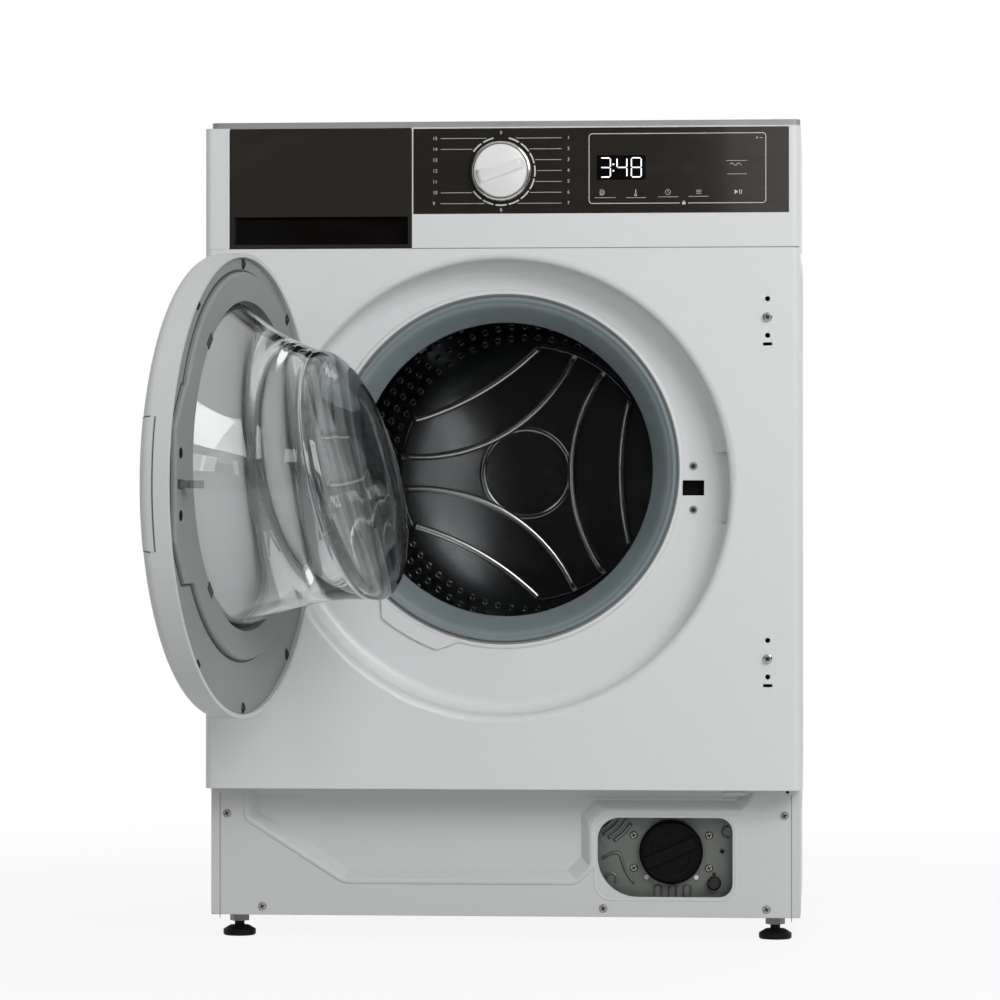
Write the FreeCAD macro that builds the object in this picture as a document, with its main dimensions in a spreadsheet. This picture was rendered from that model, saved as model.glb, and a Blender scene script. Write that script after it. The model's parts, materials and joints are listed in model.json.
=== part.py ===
import FreeCAD, Part
import math
import operator
import os
import Sketcher
from types import SimpleNamespace

# A built-in washing machine in millimetres. +X points right seen from the front, +Y to the back, +Z up.
# The origin lies on the floor under the middle of the carcass. The door stands open, as at its stop.

DOC = FreeCAD.newDocument("washing_machine")

SIZES = [
    # Carcass
    ("overall_width", 595.0, "width of the carcass and its front"),
    ("overall_height", 824.0, "floor to the top of the lid"),
    ("carcass_depth", 540.0, "front panel to the back"),
    ("front_step", 46.0, "front panel before the cabinet sides"),
    ("floor_gap", 22.7, "floor to the underside of the cabinet"),
    ("sheet_wall", 1.2, "thickness of the steel sheets"),
    ("lid_height", 10.0, "fascia top to lid top"),
    ("lid_setback", 0.4, "lid behind the cabinet's front edge"),
    ("flange_width", 12.0, "turned-in flange of the cabinet sides"),
    ("pan_height", 14.0, "height of the base pan"),
    ("cover_inset", 95.0, "rear cover from the cabinet side"),
    ("cover_low", 190.0, "lower edge of the rear cover"),
    ("cover_high", 690.0, "upper edge of the rear cover"),
    ("cover_rim", 14.0, "rim of the rear cover round the service opening"),
    ("cover_press", 8.0, "depth of the rear cover's pressing"),
    ("cover_corner", 24.0, "corner radius of the rear cover"),
    # Feet
    ("foot_inset", 25.5, "foot axis from the cabinet side"),
    ("foot_setback", 24.0, "front foot axis behind the plinth"),
    ("foot_rear_inset", 70.0, "rear foot axis from the back"),
    ("foot_radius", 16.5, "radius of the foot's pad"),
    ("foot_pad", 10.0, "thickness of the foot's pad"),
    ("stud_radius", 5.0, "radius of the foot's stud"),
    ("stud_length", 50.0, "length of the foot's stud"),
    ("nut_radius", 9.8, "lock nut across its corners, halved"),
    ("nut_height", 8.0, "height of the lock nut"),
    # Front panel
    ("plinth_top", 153.0, "lower edge of the front panel"),
    ("fascia_tall", 121.0, "height of the fascia"),
    ("panel_edge", 7.0, "rounded side edges of the front"),
    ("dish_height", 454.0, "height of the door dish's centre"),
    ("dish_radius", 227.0, "radius of the dish wall"),
    ("dish_depth", 44.0, "depth of the dish"),
    ("dish_mouth", 8.0, "rounded mouth of the dish"),
    ("dish_fillet", 15.0, "rounded foot of the dish wall"),
    ("port_height", 473.0, "height of the port and drum axis"),
    ("port_radius", 169.0, "radius of the port in the panel"),
    ("port_bead", 174.2, "inner radius of the bead round the port"),
    ("bead_width", 7.0, "width of the port's bead"),
    ("bead_round", 3.9, "rounding of the port's bead"),
    ("emboss_near", 180.0, "inner radius of the raised field below the hinge"),
    ("emboss_far", 194.5, "outer radius of the raised field below the hinge"),
    ("emboss_rise", 2.5, "height of the raised field below the hinge"),
    ("notch_angle", 18.4, "angle of the square finger notch in the dish's foot"),
    ("fixing_inset", 32.2, "furniture hinge holes from the side"),
    ("fixing_high", 623.3, "height of the upper furniture fixing"),
    ("fixing_low", 284.1, "height of the lower furniture fixing"),
    ("fixing_spacing", 36.3, "distance of a fixing's two holes"),
    ("fixing_hole", 2.5, "radius of a furniture fixing hole"),
    ("fixing_drop", 26.8, "hook slot below a fixing's middle"),
    ("fixing_slot_width", 9.0, "width of the hook slot"),
    ("fixing_slot_tall", 3.0, "height of the hook slot"),
    ("fixing_stud", 4.6, "radius of a fixing stud's head"),
    ("fixing_stud_reach", 7.0, "how far a fixing stud stands out"),
    ("lock_x", 190.3, "door lock from the middle"),
    ("lock_slot_width", 21.7, "width of the lock slot"),
    ("lock_slot_tall", 15.2, "height of the lock slot"),
    ("lock_screws", 43.8, "distance of the lock's screws"),
    ("lock_depth", 19.0, "depth of the door lock"),
    ("lock_frame", 2.8, "lock case beyond its slot, sideways"),
    ("screw_head", 4.3, "radius of a panel screw's head"),
    ("screw_rise", 2.2, "height of a panel screw's head"),
    ("screw_shank", 1.9, "radius of a panel screw's shank"),
    # Fits
    ("run_gap", 0.05, "clearance of a running fit"),
    ("seat_gap", 0.3, "clearance beside a moving or soft piece"),
    # Plinth and drain
    ("plinth_corner", 6.0, "lower corners of the plinth"),
    ("toe_depth", 10.0, "depth of the plinth's toe recess"),
    ("toe_top", 3.5, "toe recess below the front panel"),
    ("toe_bottom", 60.6, "lower edge of the toe recess"),
    ("toe_inset", 38.7, "toe recess from the left side, at its top"),
    ("toe_slope", 8.0, "width of the toe recess's sloped wall"),
    ("toe_notch", 14.0, "cut corner of the toe recess beside the filter cut-out"),
    ("plinth_screw_inset", 16.0, "plinth's side screws from the sides"),
    ("plinth_screw_high", 102.5, "plinth's side screws above its foot"),
    ("plinth_screw_low", 8.5, "plinth's lower screws above its foot"),
    ("plinth_screw_left", 52.0, "plinth's lower left screw from the side"),
    ("plinth_screw_right", 34.0, "plinth's lower right screw from the side"),
    ("toe_end", 27.0, "upright stretch at the toe recess's left end"),
    ("toe_slant", 97.0, "sideways run of the toe recess's slanted end"),
    ("cut_width", 135.5, "width of the filter cut-out"),
    ("cut_tall", 79.5, "height of the filter cut-out"),
    ("cut_shift", 5.5, "cut-out's middle left of the filter axis"),
    ("cut_drop", 3.9, "cut-out's middle below the filter axis"),
    ("cut_corner", 14.0, "right corners of the filter cut-out"),
    ("cut_corner_high", 22.0, "upper left corner of the filter cut-out"),
    ("cut_corner_low", 40.0, "lower left corner of the filter cut-out"),
    ("cut_border", 9.0, "raised border round the filter cut-out"),
    ("filter_inset", 130.2, "filter axis from the right side"),
    ("filter_height", 86.7, "height of the filter axis"),
    ("filter_setback", 24.0, "filter plate behind the plinth"),
    ("filter_plate_rim", 6.0, "filter plate beyond the cut-out"),
    ("filter_screw_x", 38.0, "filter plate's screws beside the filter axis"),
    ("filter_screw_z", 16.5, "filter plate's screws above and below the filter axis"),
    ("filter_radius", 32.0, "radius of the filter cap"),
    ("filter_bore", 28.0, "bore of the filter housing"),
    ("filter_wall", 8.0, "wall of the filter housing"),
    ("filter_length", 88.0, "length of the filter housing"),
    ("cap_thick", 12.0, "thickness of the filter cap's flange"),
    ("cap_grip", 7.0, "height of the filter cap's grip"),
    ("cap_plug", 38.0, "length of the filter cap's plug"),
    ("grip_angle", 24.0, "slope of the grips on cap and knob"),
    ("cap_edge", 2.0, "bevel of the filter cap"),
    ("cap_grip_width", 11.0, "width of the filter cap's grip"),
    ("drain_plug_radius", 7.0, "radius of the emergency drain plug"),
    ("drain_plug_inset", 19.0, "drain plug from the cut-out's right end"),
    ("drain_plug_rise", 12.5, "drain plug above the cut-out's foot"),
    ("drain_plug_reach", 12.0, "length of the drain plug"),
    ("port_reach", 14.0, "length of the ports on pump and filter housing"),
    ("pump_radius", 34.0, "radius of the drain pump"),
    ("pump_length", 70.0, "length of the drain pump"),
    ("pipe_radius", 12.0, "outer radius of the drain pipe"),
    ("pipe_bore", 8.5, "bore of the drain pipe"),
    ("spigot_radius", 10.5, "radius of the drain spigot"),
    ("pipe_bend", 40.0, "bend of the drain pipe"),
    ("pipe_inset", 42.0, "drain pipe from the right side"),
    ("spigot_length", 25.0, "drain spigot beyond the back"),
    ("hose_radius", 22.0, "outer radius of the sump hose"),
    ("hose_wall", 3.0, "wall of the sump hose"),
    ("hose_rib", 5.0, "height of the sump hose's ribs"),
    ("hose_ribs", 4, "number of the sump hose's ribs"),
    ("hose_cuff", 22.0, "plain end of the sump hose"),
    ("hose_setback", 140.0, "sump hose axis behind the front plane"),
    # Fascia and controls
    ("fascia_wall", 3.0, "wall of the fascia"),
    ("drawer_inset", 25.5, "drawer front from the left side"),
    ("drawer_width", 181.7, "width of the drawer front"),
    ("drawer_thick", 14.0, "thickness of the drawer front"),
    ("drawer_reveal", 1.0, "gap round the drawer front"),
    ("pull_low", 4.0, "pull recess above the fascia's foot"),
    ("pull_tall", 28.0, "height of the pull recess"),
    ("pull_side", 3.0, "pull recess from the drawer front's ends"),
    ("pull_depth", 10.5, "depth of the pull recess"),
    ("pull_lip", 9.0, "finger room above the pull recess"),
    ("tray_low", 34.0, "tray's floor above the fascia's foot"),
    ("tray_tall", 72.0, "height of the tray"),
    ("tray_inset", 12.0, "tray from the drawer front's ends"),
    ("tray_length", 200.0, "length of the tray"),
    ("tray_wall", 2.2, "wall of tray and dispenser housing"),
    ("siphon_width", 42.0, "width of the softener compartment"),
    ("siphon_length", 70.0, "length of the softener compartment"),
    ("siphon_stem", 6.0, "radius of the siphon's stem"),
    ("glass_gap", 2.3, "control glass from the drawer front"),
    ("glass_inset", 11.0, "control glass from the right side"),
    ("glass_low", 34.3, "control glass above the fascia's foot"),
    ("glass_top", 1.4, "control glass below the fascia's top"),
    ("glass_thick", 2.5, "thickness of the control glass"),
    ("window_x", 119.8, "middle of the display window"),
    ("window_width", 49.3, "width of the display window"),
    ("window_tall", 25.3, "height of the display window"),
    ("window_lift", 3.0, "display window above the knob axis"),
    ("window_thick", 1.0, "thickness of the display window"),
    ("knob_drop", 44.3, "knob axis below the fascia's top"),
    ("knob_radius", 30.0, "radius of the knob's skirt"),
    ("knob_cap", 27.4, "radius of the knob's cap"),
    ("knob_skirt", 6.0, "height of the knob's skirt"),
    ("knob_height", 13.0, "height of the knob"),
    ("knob_grip", 5.0, "height of the knob's grip bar"),
    ("knob_grip_width", 9.0, "width of the knob's grip bar"),
    ("knob_lift", 0.8, "knob above the control glass"),
    ("shaft_radius", 3.0, "radius of the knob's shaft"),
    ("board_setback", 30.0, "control board behind the front plane"),
    ("board_thick", 1.6, "thickness of the control board"),
    ("barrel_radius", 9.0, "radius of the selector's barrel"),
    # Water inlet and mains
    ("valve_inset", 127.0, "inlet valve axis from the left side"),
    ("valve_drop", 46.0, "inlet valve axis below the fascia's top"),
    ("valve_width", 44.0, "width of the inlet valve"),
    ("valve_depth", 52.0, "depth of the inlet valve"),
    ("inlet_radius", 13.2, "radius of the threaded inlet"),
    ("inlet_reach", 14.0, "threaded inlet beyond the cabinet's back"),
    ("inlet_relief", 1.0, "groove between the threaded inlet and the cabinet's back"),
    ("valve_corner", 6.0, "rounded corners of the inlet valve"),
    ("fill_radius", 9.0, "outer radius of the fill hose"),
    ("fill_bore", 6.5, "bore of the fill hose"),
    ("gland_inset", 97.0, "mains gland from the right side"),
    ("gland_radius", 12.0, "radius of the mains gland's flange"),
    ("gland_neck", 9.0, "radius of the mains gland's neck"),
    ("gland_bore", 4.2, "bore of the mains gland"),
    ("gland_thick", 4.0, "thickness of the mains gland's flange"),
    # Door
    ("hinge_x", 213.2, "door hinge axis left of the middle"),
    ("hinge_setback", 8.2, "door hinge axis behind the front plane"),
    ("door_angle", 101.0, "opening angle of the door at its stop"),
    ("door_radius", 221.5, "radius of the door"),
    ("door_front", 3.2, "door's outer face before the hinge axis"),
    ("door_back", 26.8, "door's lip behind the hinge axis"),
    ("door_wall", 3.4, "wall of the door's cover"),
    ("door_lip", 4.0, "width of the cover's lip"),
    ("door_round", 10.0, "rounded front edge of the door"),
    ("ring_level", 22.8, "ring's face behind the hinge axis"),
    ("ring_plate", 3.0, "thickness of the door ring"),
    ("ring_bore", 157.0, "opening of the door ring"),
    ("plateau_radius", 185.0, "raised middle of the door ring"),
    ("plateau_rise", 5.0, "height of the ring's raised middle"),
    ("plateau_reach", 203.0, "raised middle's reach towards the latch"),
    ("plateau_round", 3.0, "rounded edge of the ring's raised middle"),
    ("plateau_tall", 130.0, "raised middle's height beside the latch"),
    ("glass_wall", 4.5, "wall of the glass bowl"),
    ("bowl_radius", 155.0, "glass bowl at the ring"),
    ("bowl_flange", 168.0, "radius of the glass bowl's flange"),
    ("bowl_flange_thick", 4.0, "thickness of the glass bowl's flange"),
    ("bowl_end", 105.0, "radius of the glass bowl's end"),
    ("bowl_depth", 112.0, "depth of the glass bowl at its middle"),
    ("bowl_drop", 6.0, "bowl's end below the port axis"),
    ("bowl_tilt", 19.0, "tilt of the bowl's end"),
    ("bowl_round", 18.0, "rounded edge of the bowl's end"),
    ("ear_near", 10.0, "hinge ear's near face from the door's middle"),
    ("ear_tall", 12.0, "height of a hinge ear"),
    ("knuckle_radius", 5.0, "radius of the hinge knuckles"),
    ("pin_radius", 2.5, "radius of the hinge pin"),
    ("pin_half", 36.0, "half length of the hinge pin"),
    ("bracket_plate", 3.0, "thickness of the hinge bracket"),
    ("bracket_width", 16.5, "width of the hinge bracket"),
    ("bracket_near", 182.0, "hinge bracket from the middle"),
    ("bracket_half", 62.0, "half height of the hinge bracket"),
    ("arm_reach", 36.0, "hinge arm's reach into the door"),
    ("arm_thick", 4.0, "thickness of the hinge arm"),
    ("arm_tall", 12.0, "height of a hinge arm's knuckle"),
    ("slot_margin", 2.0, "room round a hinge ear in the door"),
    ("slot_reach", 36.0, "hinge ear's slot in the door ring"),
    ("hook_reach", 34.0, "length of the door hook"),
    ("hook_thick", 7.0, "thickness of the door hook"),
    ("ring_screw_circle", 211.5, "circle of the door ring's screws"),
    ("ring_screw", 3.4, "radius of a door ring screw"),
    # Gasket
    ("gasket_lip", 173.5, "outer lip of the gasket"),
    ("gasket_bead", 4.0, "gasket before the dish floor"),
    ("gasket_mouth", 149.0, "opening of the gasket"),
    ("gasket_throat", 26.0, "gasket's opening behind the dish floor"),
    ("gasket_wall", 3.0, "wall of the gasket"),
    ("clamp_wall", 2.5, "thickness of the gasket clamp"),
    ("clamp_width", 3.6, "width of the gasket clamp"),
    # Tub
    ("tub_setback", 105.0, "tub's front wall behind the front plane"),
    ("tub_room", 43.0, "tub behind the drum's shell"),
    ("tub_split", 165.0, "length of the tub's front half"),
    ("tub_radius", 250.0, "outer radius of the tub"),
    ("tub_travel", 8.0, "tub's travel up and down on its springs"),
    ("tub_wall", 6.0, "wall of the tub"),
    ("rib_reach", 8.0, "tub flange beyond the tub"),
    ("rib_thick", 6.0, "thickness of a tub flange"),
    ("collar_radius", 182.0, "outer radius of the tub's collar"),
    ("collar_length", 22.0, "length of the tub's collar"),
    ("hub_radius", 46.0, "radius of the tub's bearing hub"),
    ("bearing_outer", 31.0, "outer radius of a drum bearing"),
    ("bearing_width", 16.0, "width of a drum bearing"),
    ("bearing_span", 8.0, "web between the drum bearings"),
    ("bearing_inset", 17.0, "front bearing before the tub's back wall"),
    ("hub_step", 24.0, "radius of the web between the bearings"),
    ("damper_x", 165.0, "damper axis from the middle"),
    ("damper_radius", 11.0, "radius of a damper's cylinder"),
    ("damper_rod", 5.0, "radius of a damper's rod"),
    ("damper_head", 266.0, "height of a damper's upper end"),
    ("damper_foot", 62.0, "lower end of a damper's cylinder"),
    ("damper_length", 130.0, "length of a damper's cylinder"),
    ("damper_block", 20.0, "width of a damper's end block"),
    ("damper_setback", 290.0, "dampers behind the front plane"),
    ("spring_x", 231.0, "suspension spring from the middle"),
    ("spring_low", 602.0, "lower end of a suspension spring"),
    ("spring_drop", 60.0, "spring shelf below the fascia's top"),
    ("spring_radius", 10.0, "mean radius of a suspension spring"),
    ("spring_wire", 1.9, "half the wire of a suspension spring"),
    ("weight_inner", 196.0, "inner radius of the counterweight"),
    ("weight_outer", 246.0, "outer radius of the counterweight"),
    ("weight_thick", 34.0, "thickness of the counterweight"),
    ("weight_angle", 110.0, "angle of the counterweight"),
    ("heater_drop", 236.0, "heater below the drum axis"),
    ("heater_half", 22.0, "half the width of the heater"),
    ("heater_rod", 4.0, "radius of the heater's rod"),
    ("heater_length", 225.0, "length of the heater"),
    ("spout_radius", 18.7, "radius of the tub's sump spout"),
    ("spout_bore", 15.0, "bore of the tub's sump spout"),
    ("spout_low", 240.0, "lower end of the sump spout"),
    # Drum
    ("drum_gap", 7.0, "drum behind the tub's front wall"),
    ("drum_length", 286.0, "length of the drum's shell"),
    ("drum_radius", 228.0, "outer radius of the drum"),
    ("drum_wall", 1.0, "wall of the drum"),
    ("drum_mouth", 158.0, "opening of the drum"),
    ("drum_hem", 9.0, "turned-back edge of the drum's opening"),
    ("star_radius", 141.0, "radius of the drum back's pressed star"),
    ("star_step", 11.0, "height of each step of the star"),
    ("outer_arc", 318.0, "radius of the star's outer arcs"),
    ("outer_near", 105.0, "star's outer arcs from the axis"),
    ("inner_arc", 183.0, "radius of the star's inner arcs"),
    ("inner_near", 52.0, "star's inner arcs from the axis"),
    ("boss_radius", 46.0, "radius of the drum back's middle"),
    ("boss_press", 3.0, "depth of the drum back's middle"),
    ("boss_seat", 8.0, "thickness of the seat behind the drum back's middle"),
    ("star_round", 5.0, "rounded edges of the drum back's star"),
    ("lifter_top", 172.0, "lifter's crest from the axis"),
    ("lifter_base", 24.0, "half the base of a lifter"),
    ("lifter_crest", 9.0, "half the crest of a lifter"),
    ("lifter_length", 215.0, "length of a lifter"),
    ("lifter_round", 8.0, "height of a lifter's sloped crest"),
    ("lifter_turn", 10.0, "angle of the first lifter"),
    ("shaft_drum", 15.0, "radius of the drum's shaft"),
    ("spider_hub", 30.0, "radius of the spider's hub"),
    ("spider_reach", 214.0, "reach of the spider's arms"),
    ("spider_width", 30.0, "width of a spider's arm"),
    ("spider_thick", 15.0, "thickness of the spider"),
    # Drive
    ("pulley_radius", 140.0, "radius of the drum's pulley"),
    ("pulley_width", 18.0, "width of the pulleys"),
    ("pulley_gap", 20.0, "drum's pulley behind the tub"),
    ("pulley_rim", 12.0, "rim of the drum's pulley"),
    ("pulley_holes", 5, "number of the holes in the drum's pulley"),
    ("pulley_web", 5.0, "web of the drum's pulley"),
    ("pulley_hub", 28.0, "hub of the drum's pulley"),
    ("belt_thick", 3.0, "thickness of the belt"),
    ("belt_width", 13.0, "width of the belt"),
    ("motor_drop", 313.0, "motor axis below the drum axis"),
    ("motor_radius", 55.0, "radius of the motor"),
    ("motor_length", 105.0, "length of the motor"),
    ("motor_pulley", 10.0, "radius of the motor's pulley"),
    ("motor_shaft", 6.0, "radius of the motor's shaft"),
    ("motor_gap", 8.0, "motor before the motor's pulley"),
    ("motor_bevel", 10.0, "bevelled ends of the motor"),
    ("motor_seat", 20.0, "depth of the solid end of the motor"),
    ("hanger_near", 34.0, "motor hanger from the middle"),
    ("hanger_thick", 12.0, "thickness of a motor hanger"),
    ("hanger_low", 267.0, "motor hanger's lower end below the drum axis"),
]

OPERATIONS = {"+": operator.add, "-": operator.sub, "*": operator.mul, "/": operator.truediv}


class Size:
    """A number that keeps the spreadsheet expression it comes from."""

    def __init__(self, number, text):
        self.number = float(number)
        self.text = text

    def __float__(self):
        return self.number

    def __neg__(self):
        return Size(-self.number, f"(-{self.text})")

    def __add__(self, other):
        return combine(self, "+", other)

    def __radd__(self, other):
        return combine(other, "+", self)

    def __sub__(self, other):
        return combine(self, "-", other)

    def __rsub__(self, other):
        return combine(other, "-", self)

    def __mul__(self, other):
        return combine(self, "*", other)

    def __rmul__(self, other):
        return combine(other, "*", self)

    def __truediv__(self, other):
        return combine(self, "/", other)

    def root(self):
        return Size(math.sqrt(self.number), f"sqrt({self.text})")


def as_size(value):
    return value if isinstance(value, Size) else Size(value, repr(float(value)))


def combine(left, mark, right):
    """Join two sizes into one that holds the result and its expression."""
    left, right = as_size(left), as_size(right)
    return Size(OPERATIONS[mark](left.number, right.number), f"({left.text} {mark} {right.text})")


def fill_sheet():
    """Write the driving sizes into a spreadsheet and hand them back by name."""
    sheet = DOC.addObject("Spreadsheet::Sheet", "Sizes")
    named = SimpleNamespace()
    for row, (alias, number, note) in enumerate(SIZES, start=1):
        sheet.set(f"A{row}", note)
        sheet.set(f"B{row}", str(number))
        sheet.setAlias(f"B{row}", alias)
        setattr(named, alias, Size(number, f"Sizes.{alias}"))
    DOC.recompute()
    return named


S = fill_sheet()
PARTS = []

# Levels that several pieces share
HALF = S.overall_width / 2
FRONT = -(S.carcass_depth / 2)
REAR = S.carcass_depth / 2
STEP = FRONT + S.front_step
BACK = REAR - S.sheet_wall
TOP = S.overall_height - S.lid_height
FASCIA_FOOT = TOP - S.fascia_tall
FLOOR = FRONT + S.dish_depth
TUB_FRONT = FRONT + S.tub_setback
TUB_SPLIT = TUB_FRONT + S.tub_split
DRUM_FRONT = TUB_FRONT + S.drum_gap
DRUM_BACK = DRUM_FRONT + S.drum_length
TUB_BACK = DRUM_BACK + S.tub_room
PLATE = STEP + S.filter_setback
FILTER_X = HALF - S.filter_inset
CUT_LEFT = FILTER_X - S.cut_width / 2 - S.cut_shift
CUT_RIGHT = CUT_LEFT + S.cut_width
CUT_LOW = S.filter_height - S.cut_tall / 2 - S.cut_drop
CUT_HIGH = CUT_LOW + S.cut_tall
KNOB_Z = TOP - S.knob_drop
DRAWER_LEFT = -HALF + S.drawer_inset
DRAWER_RIGHT = DRAWER_LEFT + S.drawer_width
GLASS_LEFT = DRAWER_RIGHT + S.glass_gap
TRAY_FLOOR = FASCIA_FOOT + S.tray_low
TRAY_TOP = TRAY_FLOOR + S.tray_tall
TRAY_LEFT = DRAWER_LEFT + S.tray_inset
TRAY_RIGHT = DRAWER_RIGHT - S.tray_inset
TRAY_FRONT = FRONT + S.drawer_thick
TRAY_BACK = TRAY_FRONT + S.tray_length
WEB_FRONT = TRAY_FRONT + S.drawer_reveal
WEB_BACK = WEB_FRONT + S.fascia_wall
HOUSING_BACK = TRAY_BACK + S.drawer_reveal + S.tray_wall
PULLEY_FRONT = TUB_BACK + S.pulley_gap
PULLEY_BACK = PULLEY_FRONT + S.pulley_width
MOTOR_Z = S.port_height - S.motor_drop
VALVE_X = -HALF + S.valve_inset
VALVE_Z = TOP - S.valve_drop
GLAND_X = HALF - S.gland_inset
HINGE_Y = FRONT + S.hinge_setback
DOOR_MIDDLE = S.hinge_x
HOOK_U = S.hinge_x + S.lock_x
SHELF = TOP - S.spring_drop
FIXING_X = HALF - S.fixing_inset


class Circle:
    """A full circle in a sketch."""

    def __init__(self, u, v, radius):
        self.u, self.v, self.radius = as_size(u), as_size(v), as_size(radius)

    def enter(self, geometry, rules, drives):
        index = len(geometry)
        centre = FreeCAD.Vector(float(self.u), float(self.v), 0)
        geometry.append(Part.Circle(centre, FreeCAD.Vector(0, 0, 1), float(self.radius)))
        drive(rules, drives, Sketcher.Constraint("Radius", index, float(self.radius)), self.radius)
        pin_point(rules, drives, index, 3, self.u, self.v)


class Outline:
    """A closed outline. A corner with a third value is reached by an arc of that radius, which turns
    left where the value is positive and right where it is negative."""

    def __init__(self, corners):
        self.corners = [tuple(as_size(value) for value in corner) for corner in corners]

    def enter(self, geometry, rules, drives):
        first = len(geometry)
        count = len(self.corners)
        ends = []
        for index, corner in enumerate(self.corners):
            following = self.corners[(index + 1) % count]
            start = FreeCAD.Vector(float(corner[0]), float(corner[1]), 0)
            stop = FreeCAD.Vector(float(following[0]), float(following[1]), 0)
            if len(following) == 3:
                geometry.append(arc_between(start, stop, float(following[2])))
                ends.append((1, 2) if float(following[2]) > 0 else (2, 1))
            else:
                geometry.append(Part.LineSegment(start, stop))
                ends.append((1, 2))
        for index, corner in enumerate(self.corners):
            after = (index + 1) % count
            rules.append(Sketcher.Constraint("Coincident", first + index, ends[index][1],
                                             first + after, ends[after][0]))
            pin_point(rules, drives, first + index, ends[index][0], corner[0], corner[1])
            following = self.corners[after]
            if len(following) == 3:
                radius = following[2] if float(following[2]) > 0 else -following[2]
                drive(rules, drives, Sketcher.Constraint("Radius", first + index, float(radius)), radius)


def arc_between(start, stop, radius):
    """Arc of under a half circle from start to stop, turning left for a positive radius."""
    chord = stop - start
    half = chord.Length / 2
    rise = math.sqrt(max(radius * radius - half * half, 0.0))
    side = FreeCAD.Vector(-chord.y, chord.x, 0).normalize()
    centre = (start + stop) * 0.5 + side * math.copysign(rise, radius)
    circle = Part.Circle(centre, FreeCAD.Vector(0, 0, 1), abs(radius))
    ends = (start, stop) if radius > 0 else (stop, start)
    angles = [math.atan2(end.y - centre.y, end.x - centre.x) for end in ends]
    return Part.ArcOfCircle(circle, angles[0], angles[1])


def drive(rules, drives, rule, value):
    drives.append((len(rules), value))
    rules.append(rule)


def pin_point(rules, drives, geometry, end, u, v):
    drive(rules, drives, Sketcher.Constraint("DistanceX", -1, 1, geometry, end, float(u)), u)
    drive(rules, drives, Sketcher.Constraint("DistanceY", -1, 1, geometry, end, float(v)), v)


def box(left, right, low, high):
    return Outline([(left, low), (right, low), (right, high), (left, high)])


def round_box(left, right, low, high, radius):
    left, right, low, high = [as_size(value) for value in (left, right, low, high)]
    return Outline([
        (left + radius, low, radius), (right - radius, low), (right, low + radius, radius),
        (right, high - radius), (right - radius, high, radius), (left + radius, high),
        (left, high - radius, radius), (left, low + radius)])


def bar(u, v, length, width, degrees):
    """A slanted rectangle round a middle point."""
    along = (math.cos(math.radians(degrees)), math.sin(math.radians(degrees)))
    corners = []
    for end, side in ((-0.5, -0.5), (0.5, -0.5), (0.5, 0.5), (-0.5, 0.5)):
        corners.append((u + length * (end * along[0]) - width * (side * along[1]),
                        v + length * (end * along[1]) + width * (side * along[0])))
    return Outline(corners)


def bind(thing, prop, value):
    """Drive one property of an object from the sheet."""
    thing.setExpression(prop, as_size(value).text)


def place(thing, x, y, z):
    for name, value in (("x", x), ("y", y), ("z", z)):
        bind(thing, f"Placement.Base.{name}", value)


def new_body(label):
    body = DOC.addObject("PartDesign::Body", label)
    body.Label = label
    PARTS.append(body)
    return body


def door_body(label):
    """A piece of the door, drawn round the hinge axis with the door shut and then swung open."""
    body = new_body(label)
    hang_on_door(body)
    return body


def hang_on_door(thing):
    place(thing, -S.hinge_x, HINGE_Y, 0)
    bind(thing, "Placement.Rotation.Angle", -S.door_angle)


PLANES = {"front": "XZ_Plane", "top": "XY_Plane", "side": "YZ_Plane"}


def sketch(body, plane, level, outlines, shift=(0, 0)):
    """Sketch outlines on a plane of the body: front shows X and Z, top X and Y, side Y and Z."""
    drawing = body.newObject("Sketcher::SketchObject", f"{body.Label}_sketch")
    support = [item for item in body.Origin.OriginFeatures if item.Role == PLANES[plane]]
    drawing.AttachmentSupport = [(support[0], "")]
    drawing.MapMode = "FlatFace"
    level = as_size(level)
    bind(drawing, "AttachmentOffset.Base.z", -level if plane == "front" else level)
    bind(drawing, "AttachmentOffset.Base.x", shift[0])
    bind(drawing, "AttachmentOffset.Base.y", shift[1])
    geometry, rules, drives = [], [], []
    for outline in outlines:
        outline.enter(geometry, rules, drives)
    drawing.addGeometry(geometry, False)
    drawing.addConstraint(rules)
    for index, value in drives:
        drawing.setExpression(f"Constraints[{index}]", value.text)
    return drawing


def pad(body, plane, start, end, *outlines):
    """Add material from one level of a plane's axis to a higher one."""
    feature = body.newObject("PartDesign::Pad", f"{body.Label}_pad")
    feature.Profile = sketch(body, plane, start, outlines)
    feature.Reversed = plane == "front"
    bind(feature, "Length", as_size(end) - start)
    body.Tip = feature
    return feature


def pocket(body, plane, start, end, *outlines):
    """Take material away from one level of a plane's axis to a higher one."""
    feature = body.newObject("PartDesign::Pocket", f"{body.Label}_pocket")
    feature.Profile = sketch(body, plane, start, outlines)
    feature.Reversed = plane != "front"
    bind(feature, "Length", as_size(end) - start)
    body.Tip = feature
    return feature


def turn(body, axis_x, axis_z, *outlines, angle=360.0, kind="Revolution"):
    """Turn outlines of Y and radius about a line along Y."""
    feature = body.newObject(f"PartDesign::{kind}", f"{body.Label}_{kind.lower()}")
    drawing = sketch(body, "side", axis_x, outlines, shift=(0, axis_z))
    feature.Profile = drawing
    feature.ReferenceAxis = (drawing, ["H_Axis"])
    bind(feature, "Angle", angle)
    feature.Midplane = True
    body.Tip = feature
    return feature


def groove(body, axis_x, axis_z, *outlines):
    return turn(body, axis_x, axis_z, *outlines, kind="Groove")


def spin(body, x, y, *outlines):
    """Turn outlines of radius and Z about an upright line."""
    feature = body.newObject("PartDesign::Revolution", f"{body.Label}_spin")
    drawing = sketch(body, "front", y, outlines, shift=(x, 0))
    feature.Profile = drawing
    feature.ReferenceAxis = (drawing, ["V_Axis"])
    feature.Angle = 360
    body.Tip = feature
    return feature


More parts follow.
